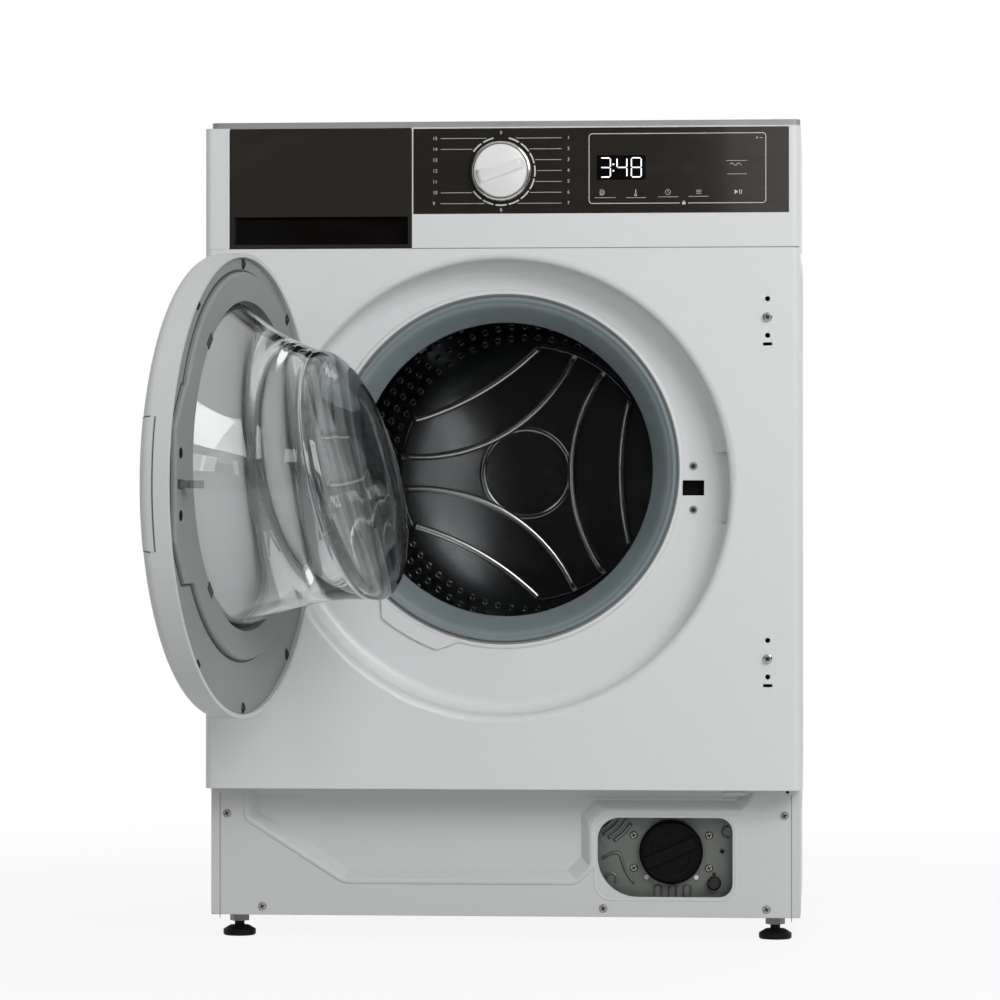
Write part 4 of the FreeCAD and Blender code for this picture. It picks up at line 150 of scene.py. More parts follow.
class Finish:
    """Node material under construction."""

    def __init__(self, name, tree=None):
        if tree is None:
            self.material = bpy.data.materials.new(name)
            self.material.use_nodes = True
            tree = self.material.node_tree
        self.tree = tree
        tree.nodes.clear()

    def node(self, kind, settings=None, inputs=None, output=0):
        made = self.tree.nodes.new(kind)
        for name, value in (settings or {}).items():
            setattr(made, name, value)
        for name, value in (inputs or {}).items():
            socket = made.inputs[name]
            if isinstance(value, Value):
                self.tree.links.new(value.socket, socket)
            elif socket.type == "RGBA":
                socket.default_value = (*value[:3], 1)
            else:
                socket.default_value = value
        return Value(self, made.outputs[output]) if made.outputs else None

    def place(self, stretch=(1, 1, 1)):
        """Place on the piece in metres, stretched along its axes."""
        where = self.node("ShaderNodeTexCoord", output="Object")
        return self.node("ShaderNodeVectorMath", {"operation": "MULTIPLY"}, {0: where, 1: stretch})

    def noise(self, scale, detail=3.0, stretch=(1, 1, 1)):
        return self.node("ShaderNodeTexNoise", None,
                         {"Vector": self.place(stretch), "Scale": scale, "Detail": detail})

    def mix(self, factor, first, second):
        return self.node("ShaderNodeMix", {"data_type": "RGBA"}, {0: factor, 6: first, 7: second}, 2)

    def round_edge(self, radius):
        return self.node("ShaderNodeBevel", {"samples": 4}, {"Radius": radius})

    def edge(self, soft):
        """1 on the edges that round_edge softens, 0 on the flats."""
        flat = self.node("ShaderNodeNewGeometry", output="True Normal")
        along = self.node("ShaderNodeVectorMath", {"operation": "DOT_PRODUCT"}, {0: soft, 1: flat}, 1)
        return (1 - along).between(0.02, 0.3)

    def bump(self, height, strength, distance, normal=None):
        inputs = {"Height": height, "Strength": strength, "Distance": distance}
        if normal is not None:
            inputs["Normal"] = normal
        return self.node("ShaderNodeBump", None, inputs)

    def surface(self, shader):
        self.node("ShaderNodeOutputMaterial", None, {"Surface": shader})
        return self.material

    def principled(self, **sockets):
        inputs = {name.replace("_", " "): value for name, value in sockets.items()}
        return self.surface(self.node("ShaderNodeBsdfPrincipled", None, inputs))


def enamel(name, colour):
    """Stoved paint on sheet steel: faint orange peel, softened edges with a painted highlight, a trace of
    dust.
    """
    finish = Finish(name)
    soft = finish.round_edge(0.0011)
    cloud = finish.noise(7.0, 4.0)
    dust = finish.noise(95.0, 5.0).between(0.58, 0.8)
    tone = finish.mix(cloud * 0.5, colour, shade(colour, 0.95))
    tone = finish.mix(dust * 0.05, tone, shade(colour, 0.7))
    # Painted highlight: the rounded edges are painted lighter than the flats.
    tone = finish.mix(finish.edge(soft) * 0.25, tone, shade(colour, 1.08))
    return finish.principled(
        Base_Color=tone, Roughness=0.3 + 0.12 * cloud, Coat_Weight=0.15, Coat_Roughness=0.12,
        Normal=finish.bump(finish.noise(520.0, 2.0), 0.05, 0.0004, soft))


def zinc(name, colour, rough=0.34):
    """Zinc-coated sheet: crystal spangle, rolling streaks and dull patches."""
    finish = Finish(name)
    soft = finish.round_edge(0.0007)
    spangle = finish.node("ShaderNodeTexVoronoi", {"voronoi_dimensions": "3D"},
                          {"Vector": finish.place(), "Scale": 210.0}, "Color")
    spangle = finish.node("ShaderNodeSeparateColor", None, {0: spangle})
    streak = finish.noise(60.0, 4.0, (1.0, 1.0, 22.0))
    dull = finish.noise(16.0, 4.0)
    tone = finish.mix(spangle * 0.35 + streak * 0.25, shade(colour, 0.8), shade(colour, 1.06))
    tone = finish.mix(dull.between(0.5, 0.8) * 0.25, tone, shade(colour, 0.62))
    return finish.principled(
        Base_Color=tone, Metallic=0.75, Roughness=rough + 0.16 * spangle + 0.1 * dull,
        Normal=finish.bump(streak + spangle * 0.4, 0.05, 0.0005, soft))


def moulded(name, colour, rough=0.42, grain=0.05, shine=0.5):
    """Injection-moulded plastic: fine spark-eroded grain, flow clouds, paler rubbed edges."""
    finish = Finish(name)
    soft = finish.round_edge(0.0008)
    cloud = finish.noise(12.0, 4.0)
    tone = finish.mix(cloud * 0.6, shade(colour, 1.03), shade(colour, 0.92))
    tone = finish.mix(finish.edge(soft) * 0.3, tone, shade(colour, 1.18))
    return finish.principled(
        Base_Color=tone, Roughness=rough - 0.06 + 0.14 * cloud, Specular_IOR_Level=shine,
        Normal=finish.bump(finish.noise(1300.0, 2.0), grain, 0.0004, soft))


def matt_black(name, colour):
    return moulded(name, colour, 0.5, 0.08, 0.14)


def glossy(name, colour, rough=0.1, hollow=None):
    """Polished dark plastic or glass: clear coat, finger smears, a slow change of tone, matt and darkened
    with painted shade in a hollow.
    """
    finish = Finish(name)
    soft = finish.round_edge(0.0006)
    smear = finish.noise(22.0, 5.0, (1.0, 1.0, 2.2)).between(0.42, 0.75)
    cloud = finish.noise(4.5, 2.0)
    tone = finish.mix(cloud, shade(colour, 0.94), shade(colour, 1.08))
    gloss = 0.45 - 0.12 * smear
    if hollow is not None:
        # Painted shade: deeper than the hollow's depth the tone drops to 0.12 of itself, and the coat goes.
        deep = finish.node("ShaderNodeSeparateXYZ", None, {0: finish.place()}, 1)
        inside = deep.between(hollow, hollow + 0.0006)
        tone = finish.mix(inside, tone, shade(colour, 0.12))
        gloss = gloss * (1 - inside)
    return finish.principled(
        Base_Color=tone, Roughness=rough + 0.05 * smear, Coat_Weight=gloss, Coat_Roughness=0.04,
        Normal=finish.bump(finish.noise(60.0, 2.0), 0.015, 0.0006, soft))


def rubber(name, colour):
    """Moulded rubber: satin skin, pale bloom in patches, fine grain."""
    finish = Finish(name)
    bloom = finish.noise(26.0, 5.0).between(0.45, 0.8)
    grain = finish.noise(900.0, 2.0)
    tone = finish.mix(bloom * 0.35, colour, shade(colour, 1.2))
    return finish.principled(
        Base_Color=tone, Roughness=0.4 + 0.16 * bloom + 0.05 * grain, Coat_Weight=0.08 * (1 - bloom),
        Normal=finish.bump(grain, 0.06, 0.0003))


def bright(name, colour, rough=0.16):
    """Plated metal: fine turning marks and a thin haze."""
    finish = Finish(name)
    soft = finish.round_edge(0.0004)
    marks = finish.noise(480.0, 3.0, (1.0, 6.0, 1.0))
    haze = finish.noise(60.0, 4.0)
    tone = finish.mix(haze * 0.4, colour, shade(colour, 0.78))
    return finish.principled(
        Base_Color=tone, Metallic=1.0, Roughness=rough + 0.14 * marks + 0.08 * haze,
        Normal=finish.bump(marks, 0.04, 0.0003, soft))


def cast(name, colour, metal=0.8):
    """Casting: sandy skin, darker stained patches and rubbed edges."""
    finish = Finish(name)
    soft = finish.round_edge(0.0012)
    sand = finish.noise(340.0, 5.0)
    stain = finish.noise(30.0, 4.0).between(0.4, 0.75)
    tone = finish.mix(stain * 0.4, colour, shade(colour, 0.7))
    tone = finish.mix(finish.edge(soft) * 0.4, tone, shade(colour, 1.25))
    return finish.principled(
        Base_Color=tone, Metallic=metal, Roughness=0.42 + 0.2 * sand,
        Normal=finish.bump(sand, 0.22, 0.0006, soft))


def stainless(name, colour):
    """Rolled stainless sheet: polished, with soft pressed edges, faint grinding streaks and water marks, its
    tone darkened as painted shade for the drum's dark inside.
    """
    finish = Finish(name)
    soft = finish.round_edge(0.0012)
    streak = finish.noise(260.0, 4.0, (0.06, 1.0, 1.0))
    mark = finish.noise(28.0, 4.0).between(0.5, 0.8)
    # Painted shade: the tone is held at about half of the drum colour, for the drum's dark inside.
    tone = finish.mix(streak * 0.4, shade(colour, 0.62), shade(colour, 0.46))
    tone = finish.mix(mark * 0.2, tone, shade(colour, 0.42))
    return finish.principled(
        Base_Color=tone, Metallic=1.0, Roughness=0.1 + 0.06 * streak + 0.05 * mark,
        Normal=finish.bump(streak, 0.02, 0.0003, soft))


def satin(name, colour):
    """Satin silver paint on a moulding: fine flake, soft sheen, edges painted brighter as a painted
    highlight.
    """
    finish = Finish(name)
    soft = finish.round_edge(0.0008)
    flake = finish.noise(1500.0, 2.0)
    cloud = finish.noise(40.0, 3.0)
    tone = finish.mix(flake * 0.5, colour, shade(colour, 0.9))
    # Painted highlight: the rounded edges are painted brighter than the flats.
    tone = finish.mix(finish.edge(soft) * 0.3, tone, shade(colour, 1.1))
    return finish.principled(
        Base_Color=tone, Metallic=0.2, Roughness=0.28 + 0.1 * cloud, Coat_Weight=0.12, Coat_Roughness=0.1,
        Normal=finish.bump(flake, 0.05, 0.0002, soft))


def clear_glass(name, colour):
    """Pressed clear glass with a few faint smears."""
    finish = Finish(name)
    smear = finish.noise(14.0, 4.0).between(0.55, 0.8)
    ripple = finish.noise(11.0, 1.0)
    return finish.principled(
        Base_Color=colour, Roughness=0.012 + 0.03 * smear, IOR=1.5, Transmission_Weight=1.0,
        Normal=finish.bump(ripple, 0.12, 0.004))


def print_ink(name, colour, glow=0.0):
    """Screen-printed or lit mark with a slightly uneven edge tone."""
    finish = Finish(name)
    speck = finish.noise(700.0, 3.0)
    tone = finish.mix(speck * 0.3, colour, shade(colour, 0.85))
    return finish.principled(
        Base_Color=tone, Roughness=0.45 + 0.1 * speck, Emission_Color=tone, Emission_Strength=glow)


MAKERS = {
    "white_enamel": enamel, "plinth_enamel": enamel, "zinc_sheet": zinc, "dark_gloss": glossy,
    "dark_glass": glossy, "display_black": glossy, "board_green": moulded, "grey_plastic": moulded,
    "blue_plastic": moulded, "rubber_grey": rubber, "rubber_black": rubber, "pipe_plastic": moulded,
    "black_plastic": matt_black, "filter_black": matt_black, "plug_black": rubber, "nickel_steel": bright,
    "hinge_zinc": cast, "knob_white": glossy, "shaft_plastic": moulded, "door_grey": moulded,
    "door_white": moulded, "bowl_glass": clear_glass, "hook_metal": cast, "tub_plastic": moulded,
    "weight_iron": cast, "motor_aluminium": cast, "heater_steel": bright, "damper_plastic": moulded,
    "bearing_steel": bright, "drum_steel": stainless, "spider_aluminium": cast,
}
SLOTS = {entry["slot"]: entry for entry in frame["record"]["materials"]}
MADE = {}


def finish_of(slot):
    """Finish of a record slot, made once from its colour in the panel."""
    if slot not in MADE:
        colour = getattr(bpy.context.scene.washer_colours, slot)
        MADE[slot] = MAKERS[slot](slot, linear(colour))
    return MADE[slot]


def extra_finish(name, maker, *values):
    if name not in MADE:
        MADE[name] = maker(name, *values)
    return MADE[name]


# Shapes

def turns(count, shift=0.0):
    """Even steps round a full turn, all moved on by a share of one step."""
    return [2 * math.pi * (step + shift) / count for step in range(count)]


def in_mm(corners):
    """Lowest and highest corner of a box, from metres to millimetres."""
    return [corner / MM for corner in corners]


def arc(middle, radius, start, end, steps):
    """Points on a circle in the upright plane, from one angle to another in degrees."""
    return [(middle[0] + radius * math.cos(math.radians(start + (end - start) * step / steps)),
             middle[1] + radius * math.sin(math.radians(start + (end - start) * step / steps)))
            for step in range(steps + 1)]


def rounded(left, right, low, high, corner, steps=6):
    """Outline of a box with round corners, counterclockwise."""
    return (arc((right - corner, high - corner), corner, 0, 90, steps)
            + arc((left + corner, high - corner), corner, 90, 180, steps)
            + arc((left + corner, low + corner), corner, 180, 270, steps)
            + arc((right - corner, low + corner), corner, 270, 360, steps))


def beside(points, by, loop):
    """Points moved sideways off a line, to the right of its run, mitred at its corners."""
    moved = []
    sharpest = 0.3                  # keeps the mitre of a narrow corner short
    for place, point in enumerate(points):
        here = Vector(point)
        before = Vector(points[place - 1]) if loop or place else None
        after = Vector(points[(place + 1) % len(points)]) if loop or place + 1 < len(points) else None
        runs = [(here - before).normalized()] if before is not None else []
        runs += [(after - here).normalized()] if after is not None else []
        sides = [Vector((run.y, -run.x)) for run in runs if run.length > 0]
        across = sum(sides, Vector((0, 0))).normalized()
        moved.append(here + across * by / max(across.dot(sides[0]), sharpest))
    return moved


def softened(points, corner, steps=6):
    """Open line with its corners rounded off over a length on both sides."""
    line = [Vector(points[0])]
    for before, here, after in zip(points, points[1:], points[2:]):
        here = Vector(here)
        start = here + (Vector(before) - here).normalized() * corner
        end = here + (Vector(after) - here).normalized() * corner
        for step in range(steps + 1):
            share = step / steps
            line.append(start.lerp(here, share).lerp(here.lerp(end, share), share))
    return [*line, Vector(points[-1])]


def swung(x, y, z):
    """Place on the shut door, moved to where the open door has it."""
    across, deep = x - HINGE[0], y - HINGE[1]
    return (HINGE[0] + across * math.cos(DOOR_OPEN) - deep * math.sin(DOOR_OPEN),
            HINGE[1] + across * math.sin(DOOR_OPEN) + deep * math.cos(DOOR_OPEN), z)


class Shape:
    """Mesh under construction, in millimetres of the shared frame."""

    def __init__(self, moved=None):
        self.mesh = bmesh.new()
        self.moved = moved

    def point(self, x, y, z):
        if self.moved:
            x, y, z = self.moved(x, y, z)
        return self.mesh.verts.new((x * MM, y * MM, z * MM))

    def face(self, corners, finish=0):
        made = self.mesh.faces.new(corners)
        made.material_index = finish
        made.smooth = True

    def bridge(self, rings, finish=0, loop=True):
        for near, far in zip(rings, rings[1:]):
            count = len(near)
            for place in range(count if loop else count - 1):
                after = (place + 1) % count
                self.face((near[place], near[after], far[after], far[place]), finish)

    def lathe(self, middle, profile, steps=96, finish=0, start=0.0, end=360.0, cap=False):
        """Turns (depth, radius) points about a line to the back through `middle`."""
        whole = end - start >= 360
        angles = [math.radians(start + (end - start) * step / steps) for step in range(steps + (not whole))]
        rings = [[self.point(middle[0] + radius * math.cos(turn), deep, middle[1] + radius * math.sin(turn))
                  for turn in angles] for deep, radius in profile]
        self.bridge(rings, finish, whole)
        if cap:
            self.face(rings[-1], finish)

    def post(self, middle, profile, steps=48, finish=0):
        """Turns (radius, height) points about an upright line through `middle`, an (X, Y) place."""
        rings = []
        for radius, height in profile:
            rings.append([self.point(middle[0] + radius * math.cos(turn), middle[1] + radius * math.sin(turn),
                                     height) for turn in turns(steps)])
        self.bridge(rings, finish)

    def sheet(self, outline, deep, finish=0):
        self.face([self.point(x, deep, z) for x, z in outline], finish)

    def block(self, outline, back, front, bevel=0.0, finish=0, top=None):
        """Upright outline from a depth at the back to one in front, with a bevelled front edge."""
        rings = [[self.point(x, back, z) for x, z in outline]]
        rings.append([self.point(x, front + bevel, z) for x, z in outline])
        if bevel:
            rings.append([self.point(p.x, front, p.y) for p in beside(outline, -bevel, True)])
        self.bridge(rings, finish)
        self.face(rings[-1], finish if top is None else top)

    def line(self, points, width, deep, finish=0, loop=False):
        """Flat printed line."""
        sides = [[self.point(p[0], deep, p[1]) for p in beside(points, by, loop)]
                 for by in (width / 2, -width / 2)]
        self.bridge(sides, finish, loop)

    def bead(self, points, width, rise, deep, finish=0, loop=False, steps=6):
        """Half-round raised bead on an upright face, run out at its ends."""
        foot = deep + 0.1           # just inside the face
        rings = []
        for step in range(steps + 1):
            turn = math.pi * step / steps
            row = []
            for place, p in enumerate(beside(points, width / 2 * math.cos(turn), loop)):
                last = not loop and place in (0, len(points) - 1)
                row.append(self.point(p[0], foot - (0 if last else rise) * math.sin(turn), p[1]))
            rings.append(row)
        self.bridge(rings, finish, loop)

    def words(self, text, x, z, deep, tall, align="CENTER", finish=0):
        """Printed figures, standing upright."""
        curve = bpy.data.curves.new("figures", "FONT")
        curve.body = text
        curve.size = tall * MM * 1.4        # a figure fills about 0.7 of the text's size
        curve.align_x, curve.align_y = align, "CENTER"
        carrier = bpy.data.objects.new("figures", curve)
        bpy.context.scene.collection.objects.link(carrier)
        bpy.context.view_layer.update()
        mesh = bpy.data.meshes.new_from_object(carrier.evaluated_get(bpy.context.evaluated_depsgraph_get()))
        mesh.transform(Matrix.Translation((x * MM, deep * MM, z * MM)) @ Matrix.Rotation(math.pi / 2, 4, "X"))
        known = len(self.mesh.faces)
        self.mesh.from_mesh(mesh)
        self.mesh.faces.ensure_lookup_table()
        for place in range(known, len(self.mesh.faces)):
            self.mesh.faces[place].material_index = finish
        bpy.data.objects.remove(carrier)
        bpy.data.curves.remove(curve)
        bpy.data.meshes.remove(mesh)

    def cup(self, centre, outward, profile, steps=14, finish=0, floor=None):
        """Small turned form of (radius, rise) points that stands on a face."""
        outward = Vector(outward).normalized()
        side = outward.orthogonal().normalized()
        other = outward.cross(side)
        rings = []
        for radius, rise in profile:
            ring = []
            for turn in turns(steps):
                at = (Vector(centre) + side * radius * math.cos(turn) + other * radius * math.sin(turn)
                      + outward * rise)
                ring.append(self.point(*at))
            rings.append(ring)
        self.bridge(rings, finish)
        self.face(rings[-1], finish if floor is None else floor)

    def recess(self, centre, outward, rise, reach, finish=0):
        """Cross-shaped driver recess, laid as a dark star of painted shade just proud of a screw's head."""
        outward = Vector(outward)
        level = Vector((1, 0, 0))
        upright = outward.cross(level)
        lean = math.radians(28.0)
        side = level * math.cos(lean) + upright * math.sin(lean)
        other = upright * math.cos(lean) - level * math.sin(lean)
        slim = reach * 0.24
        outline = []
        for across, up in ((1, 0), (0, 1), (-1, 0), (0, -1)):
            for along, aside in ((slim, -slim), (reach, -slim), (reach, slim)):
                outline.append((across * along - up * aside, up * along + across * aside))
        base = Vector(centre) + outward * rise
        rings = []
        for proud in (-0.6, 0.06):
            rings.append([self.point(*(base + outward * proud + side * a + other * b)) for a, b in outline])
        self.bridge(rings, finish)
        self.face(rings[-1], finish)

    def finished(self, name, finishes, body, slot=None, angle=35.0):
        """The shape as an object with finishes, riding on a body."""
        if not self.mesh.faces:
            raise RuntimeError(f"{name} has no faces")
        bmesh.ops.recalc_face_normals(self.mesh, faces=self.mesh.faces)
        data = bpy.data.meshes.new(name)
        self.mesh.to_mesh(data)
        self.mesh.free()
        for finish in finishes:
            data.materials.append(finish)
        data.set_sharp_from_angle(angle=math.radians(angle))
        made = bpy.data.objects.new(name, data)
        bpy.context.scene.collection.objects.link(made)
        if body:
            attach(made, body)
        return made


# Settings

def length(name, description, default):
    return bpy.props.FloatProperty(
        name=name, description=description, default=default * MM, min=0.0, soft_max=0.6, precision=4,
        unit="LENGTH", subtype="DISTANCE")


def tint(name, description, slot, default=None):
    return bpy.props.FloatVectorProperty(
        name=name, description=description, size=3, subtype="COLOR_GAMMA", min=0.0, max=1.0,
        default=default or tuple(SLOTS[slot]["base_color"][:3]))


class WasherSizes(bpy.types.PropertyGroup):
    """Sizes of the small parts."""

    dial_radius: length("Dial ring", "Radius of the printed ring round the knob", 33.9)
    dial_line: length("Dial line", "Width of the dial's ring", 1.5)
    figure_tall: length("Dial figures", "Height of the dial's figures", 3.4)
    digit_tall: length("Display digits", "Height of the display's digits", 19.0)
    hole_radius: length("Drum holes", "Radius of a drum hole", 2.1)
    hole_pitch: length("Drum hole pitch", "Distance of neighbouring drum holes", 14.6)
    plate_rib: length("Plate rib", "Height of the filter plate's ribs", 2.2)
    glass_wall: length("Glass wall", "Wall of the door's glass bowl", 5.5)
    knob_rise: length("Knob bar", "Height of the knob's bar", 4.6)


class WasherColours(bpy.types.PropertyGroup):
    """Colours of the finishes."""

    white_enamel: tint("White enamel", "Front panel, fascia and cabinet", "white_enamel")
    plinth_enamel: tint("Plinth enamel", "Plinth panel", "plinth_enamel", (0.8, 0.81, 0.805))
    zinc_sheet: tint("Zinc sheet", "Lid, rear cover, base and filter plate", "zinc_sheet")
    dark_gloss: tint("Drawer front", "Face of the drawer", "dark_gloss", (0.175, 0.157, 0.143))
    dark_glass: tint("Control glass", "Face of the controls", "dark_glass", (0.158, 0.147, 0.134))
    display_black: tint("Display", "Display window", "display_black")
    board_green: tint("Circuit board", "Control board", "board_green")
    grey_plastic: tint("Grey mouldings", "Tray, housings and lifters", "grey_plastic")
    blue_plastic: tint("Inlet valve", "Inlet valve", "blue_plastic")
    rubber_grey: tint("Gasket", "Door gasket", "rubber_grey", (0.46, 0.505, 0.52))
    rubber_black: tint("Black rubber", "Hoses and belt", "rubber_black")
    pipe_plastic: tint("Drain pipe", "Drain pipe and mains gland", "pipe_plastic")
    black_plastic: tint("Black mouldings", "Feet, lock and pump", "black_plastic")
    filter_black: tint("Filter cap", "Filter cap", "filter_black", (0.018, 0.018, 0.02))
    plug_black: tint("Drain plug", "Emergency drain plug", "plug_black")
    nickel_steel: tint("Plated steel", "Screws, studs, nuts and pin", "nickel_steel")
    hinge_zinc: tint("Hinge", "Hinge bracket and arm", "hinge_zinc")
    knob_white: tint("Knob", "Cap of the selector knob", "knob_white")
    shaft_plastic: tint("Knob shaft", "Shaft of the selector knob", "shaft_plastic")
    door_grey: tint("Door ring", "Inner ring of the door", "door_grey", (0.53, 0.55, 0.545))
    door_white: tint("Door cover", "Outer cover of the door", "door_white")
    bowl_glass: tint("Glass bowl", "Glass of the door", "bowl_glass", (0.985, 0.993, 0.992))
    hook_metal: tint("Door hook", "Hook of the door", "hook_metal")
    tub_plastic: tint("Tub", "Both halves of the tub", "tub_plastic")
    weight_iron: tint("Counterweight", "Counterweight of the tub", "weight_iron")
    motor_aluminium: tint("Motor", "Motor body", "motor_aluminium")
    heater_steel: tint("Heater", "Heater rod", "heater_steel")
    damper_plastic: tint("Dampers", "Damper cylinders and rods", "damper_plastic")
    bearing_steel: tint("Ground steel", "Bearings, springs and rotor", "bearing_steel")
    drum_steel: tint("Drum", "Drum shell and back", "drum_steel")
    spider_aluminium: tint("Spider", "Spider and pulley", "spider_aluminium")
    mark_white: tint("Printed marks", "Marks on the controls", None, (0.8, 0.79, 0.77))


def size_of(name):
    """A size from the panel, in millimetres."""
    return getattr(bpy.context.scene.washer_sizes, name) / MM


def marks():
    return extra_finish("printed_marks", print_ink, linear(bpy.context.scene.washer_colours.mark_white))


# Near-black laid as painted shade in holes, gaps, slots and driver recesses.
def deep_black():
    return extra_finish("deep_black", matt_black, linear((0.035, 0.035, 0.035)))


# Grey of the glass clips, also laid as painted shadow at the foot of the door ring's raised middle.
def clip_grey():
    return extra_finish("clip_grey", moulded, linear((0.2, 0.21, 0.21)))


# Operators

class WASHER_OT_finishes(bpy.types.Operator):
    """Give every carried-over solid its finish"""

    bl_idname = "washer.finishes"
    bl_label = "Finishes"

    def execute(self, context):
        colours = context.scene.washer_colours
        own = {
            "filter_plate": extra_finish("plate_zinc", zinc, linear(shade(colours.zinc_sheet, 0.8))),
            # Painted light: the lid's zinc is paler than the zinc sheet, for the light the lid catches.
            "top_lid": extra_finish("lid_zinc", zinc, linear((0.7, 0.71, 0.7)), 0.52),
            "foot_nuts": extra_finish("nut_steel", bright, (0.22, 0.22, 0.21), 0.3),
            "door_screws": extra_finish("dark_zinc", bright, (0.06, 0.06, 0.06), 0.4),
            "door_hook": extra_finish("hook_steel", cast, (0.26, 0.28, 0.28)),
            # The drawer front's hollow is darkened with painted shade.
            "drawer_front": extra_finish("drawer_face", glossy, linear(colours.dark_gloss), 0.12,
                                         (FRONT + 0.4) * MM),
        }
        for name, node in NODES.items():
            for place in node.material_slots:
                slot = place.material.name.split(".")[0]
                if slot not in MAKERS:
                    raise RuntimeError(f"no finish for {slot}")
                place.material = own.get(name) or finish_of(slot)
        return {"FINISHED"}


class WASHER_OT_dial(bpy.types.Operator):
    """Print the dial's ring, leader lines and figures"""

    bl_idname = "washer.dial"
    bl_label = "Dial print"

    half = 8                        # positions on each side of the dial
    unmarked = (0, 11, 12, 13)      # positions without an arc and a leader line

    def execute(self, context):
        shape = Shape()
        deep = FRONT - PRINT
        ring, tall = size_of("dial_radius"), size_of("figure_tall")
        half_arc, row_pitch, row_shift = 9.4, 10.85, 0.4
        above, below, aside = 38.4, 38.8, 68.5
        gap_at_ring, gap_at_figure, leader = 2.2, 8.0, 0.45
        for number in range(2 * self.half):
            turn = 90 - 180 / self.half * number
            if number not in self.unmarked:
                shape.line(arc(KNOB, ring, turn - half_arc, turn + half_arc, 10), size_of("dial_line"), deep)
            if number % self.half == 0:
                height = KNOB[1] + (-below if number else above)
                shape.words(str(number), KNOB[0], height, deep, tall)
                continue
            side = 1 if number < self.half else -1
            row = number - 4 if side > 0 else 12 - number
            height = KNOB[1] + row_shift - row * row_pitch
            figure = KNOB[0] + side * aside
            shape.words(str(number), figure, height, deep, tall, "RIGHT" if side > 0 else "LEFT")
            if number not in self.unmarked:
                reach = math.sqrt(max((ring + gap_at_ring) ** 2 - (height - KNOB[1]) ** 2, 0.0))
                start, stop = KNOB[0] + side * reach, figure - side * gap_at_figure
                shape.line([(start, height), (stop, height)], leader, deep)
        shape.finished("dial_print", [marks()], "cabinet", "dark_glass")
        return {"FINISHED"}


class WASHER_OT_display(bpy.types.Operator):
    """Light the digits of the display"""

    bl_idname = "washer.display"
    bl_label = "Display digits"

    strokes = {"3": "abcdg", "4": "bcfg", "8": "abcdefg"}

    def digit(self, shape, figure, left, low, wide, tall, deep):
        half = tall / 2
        bar, gap = 1.15, 0.5
        ends = {
            "a": ((0, tall), (wide, tall)), "b": ((wide, tall), (wide, half)), "c": ((wide, half), (wide, 0)),
            "d": ((0, 0), (wide, 0)), "e": ((0, half), (0, 0)), "f": ((0, tall), (0, half)),
            "g": ((0, half), (wide, half))}
        for name in self.strokes[figure]:
            first, last = (Vector(end) for end in ends[name])
            run = (last - first).normalized()
            side = Vector((run.y, -run.x)) * bar / 2
            first, last = first + run * gap, last - run * gap
            near, far = first + run * bar / 2, last - run * bar / 2
            shape.sheet([(left + p.x, low + p.y) for p in (
                first, near + side, far + side, last, far - side, near - side)], deep)

    def execute(self, context):
        low_corner, high_corner = in_mm(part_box("display_window"))
        left, right = low_corner.x, high_corner.x
        shape = Shape()
        deep = FRONT - 0.1
        tall, wide = size_of("digit_tall"), 9.8
        low = (low_corner.z + high_corner.z - tall) / 2
        for figure, start in (("3", left + 4.2), ("4", left + 20.6), ("8", right - 4.6 - wide)):
            self.digit(shape, figure, start, low, wide, tall, deep)
        colon, dot = left + 17.0, 0.8
        for share in (0.33, 0.67):
            height = low + tall * share
            shape.sheet(rounded(colon - dot, colon + dot, height - dot, height + dot, dot / 2), deep)
        lit = extra_finish("lit_digits", print_ink, linear((0.95, 0.96, 0.97)), 1.0)
        shape.finished("display_digits", [lit], "cabinet", "display_black")
        return {"FINISHED"}


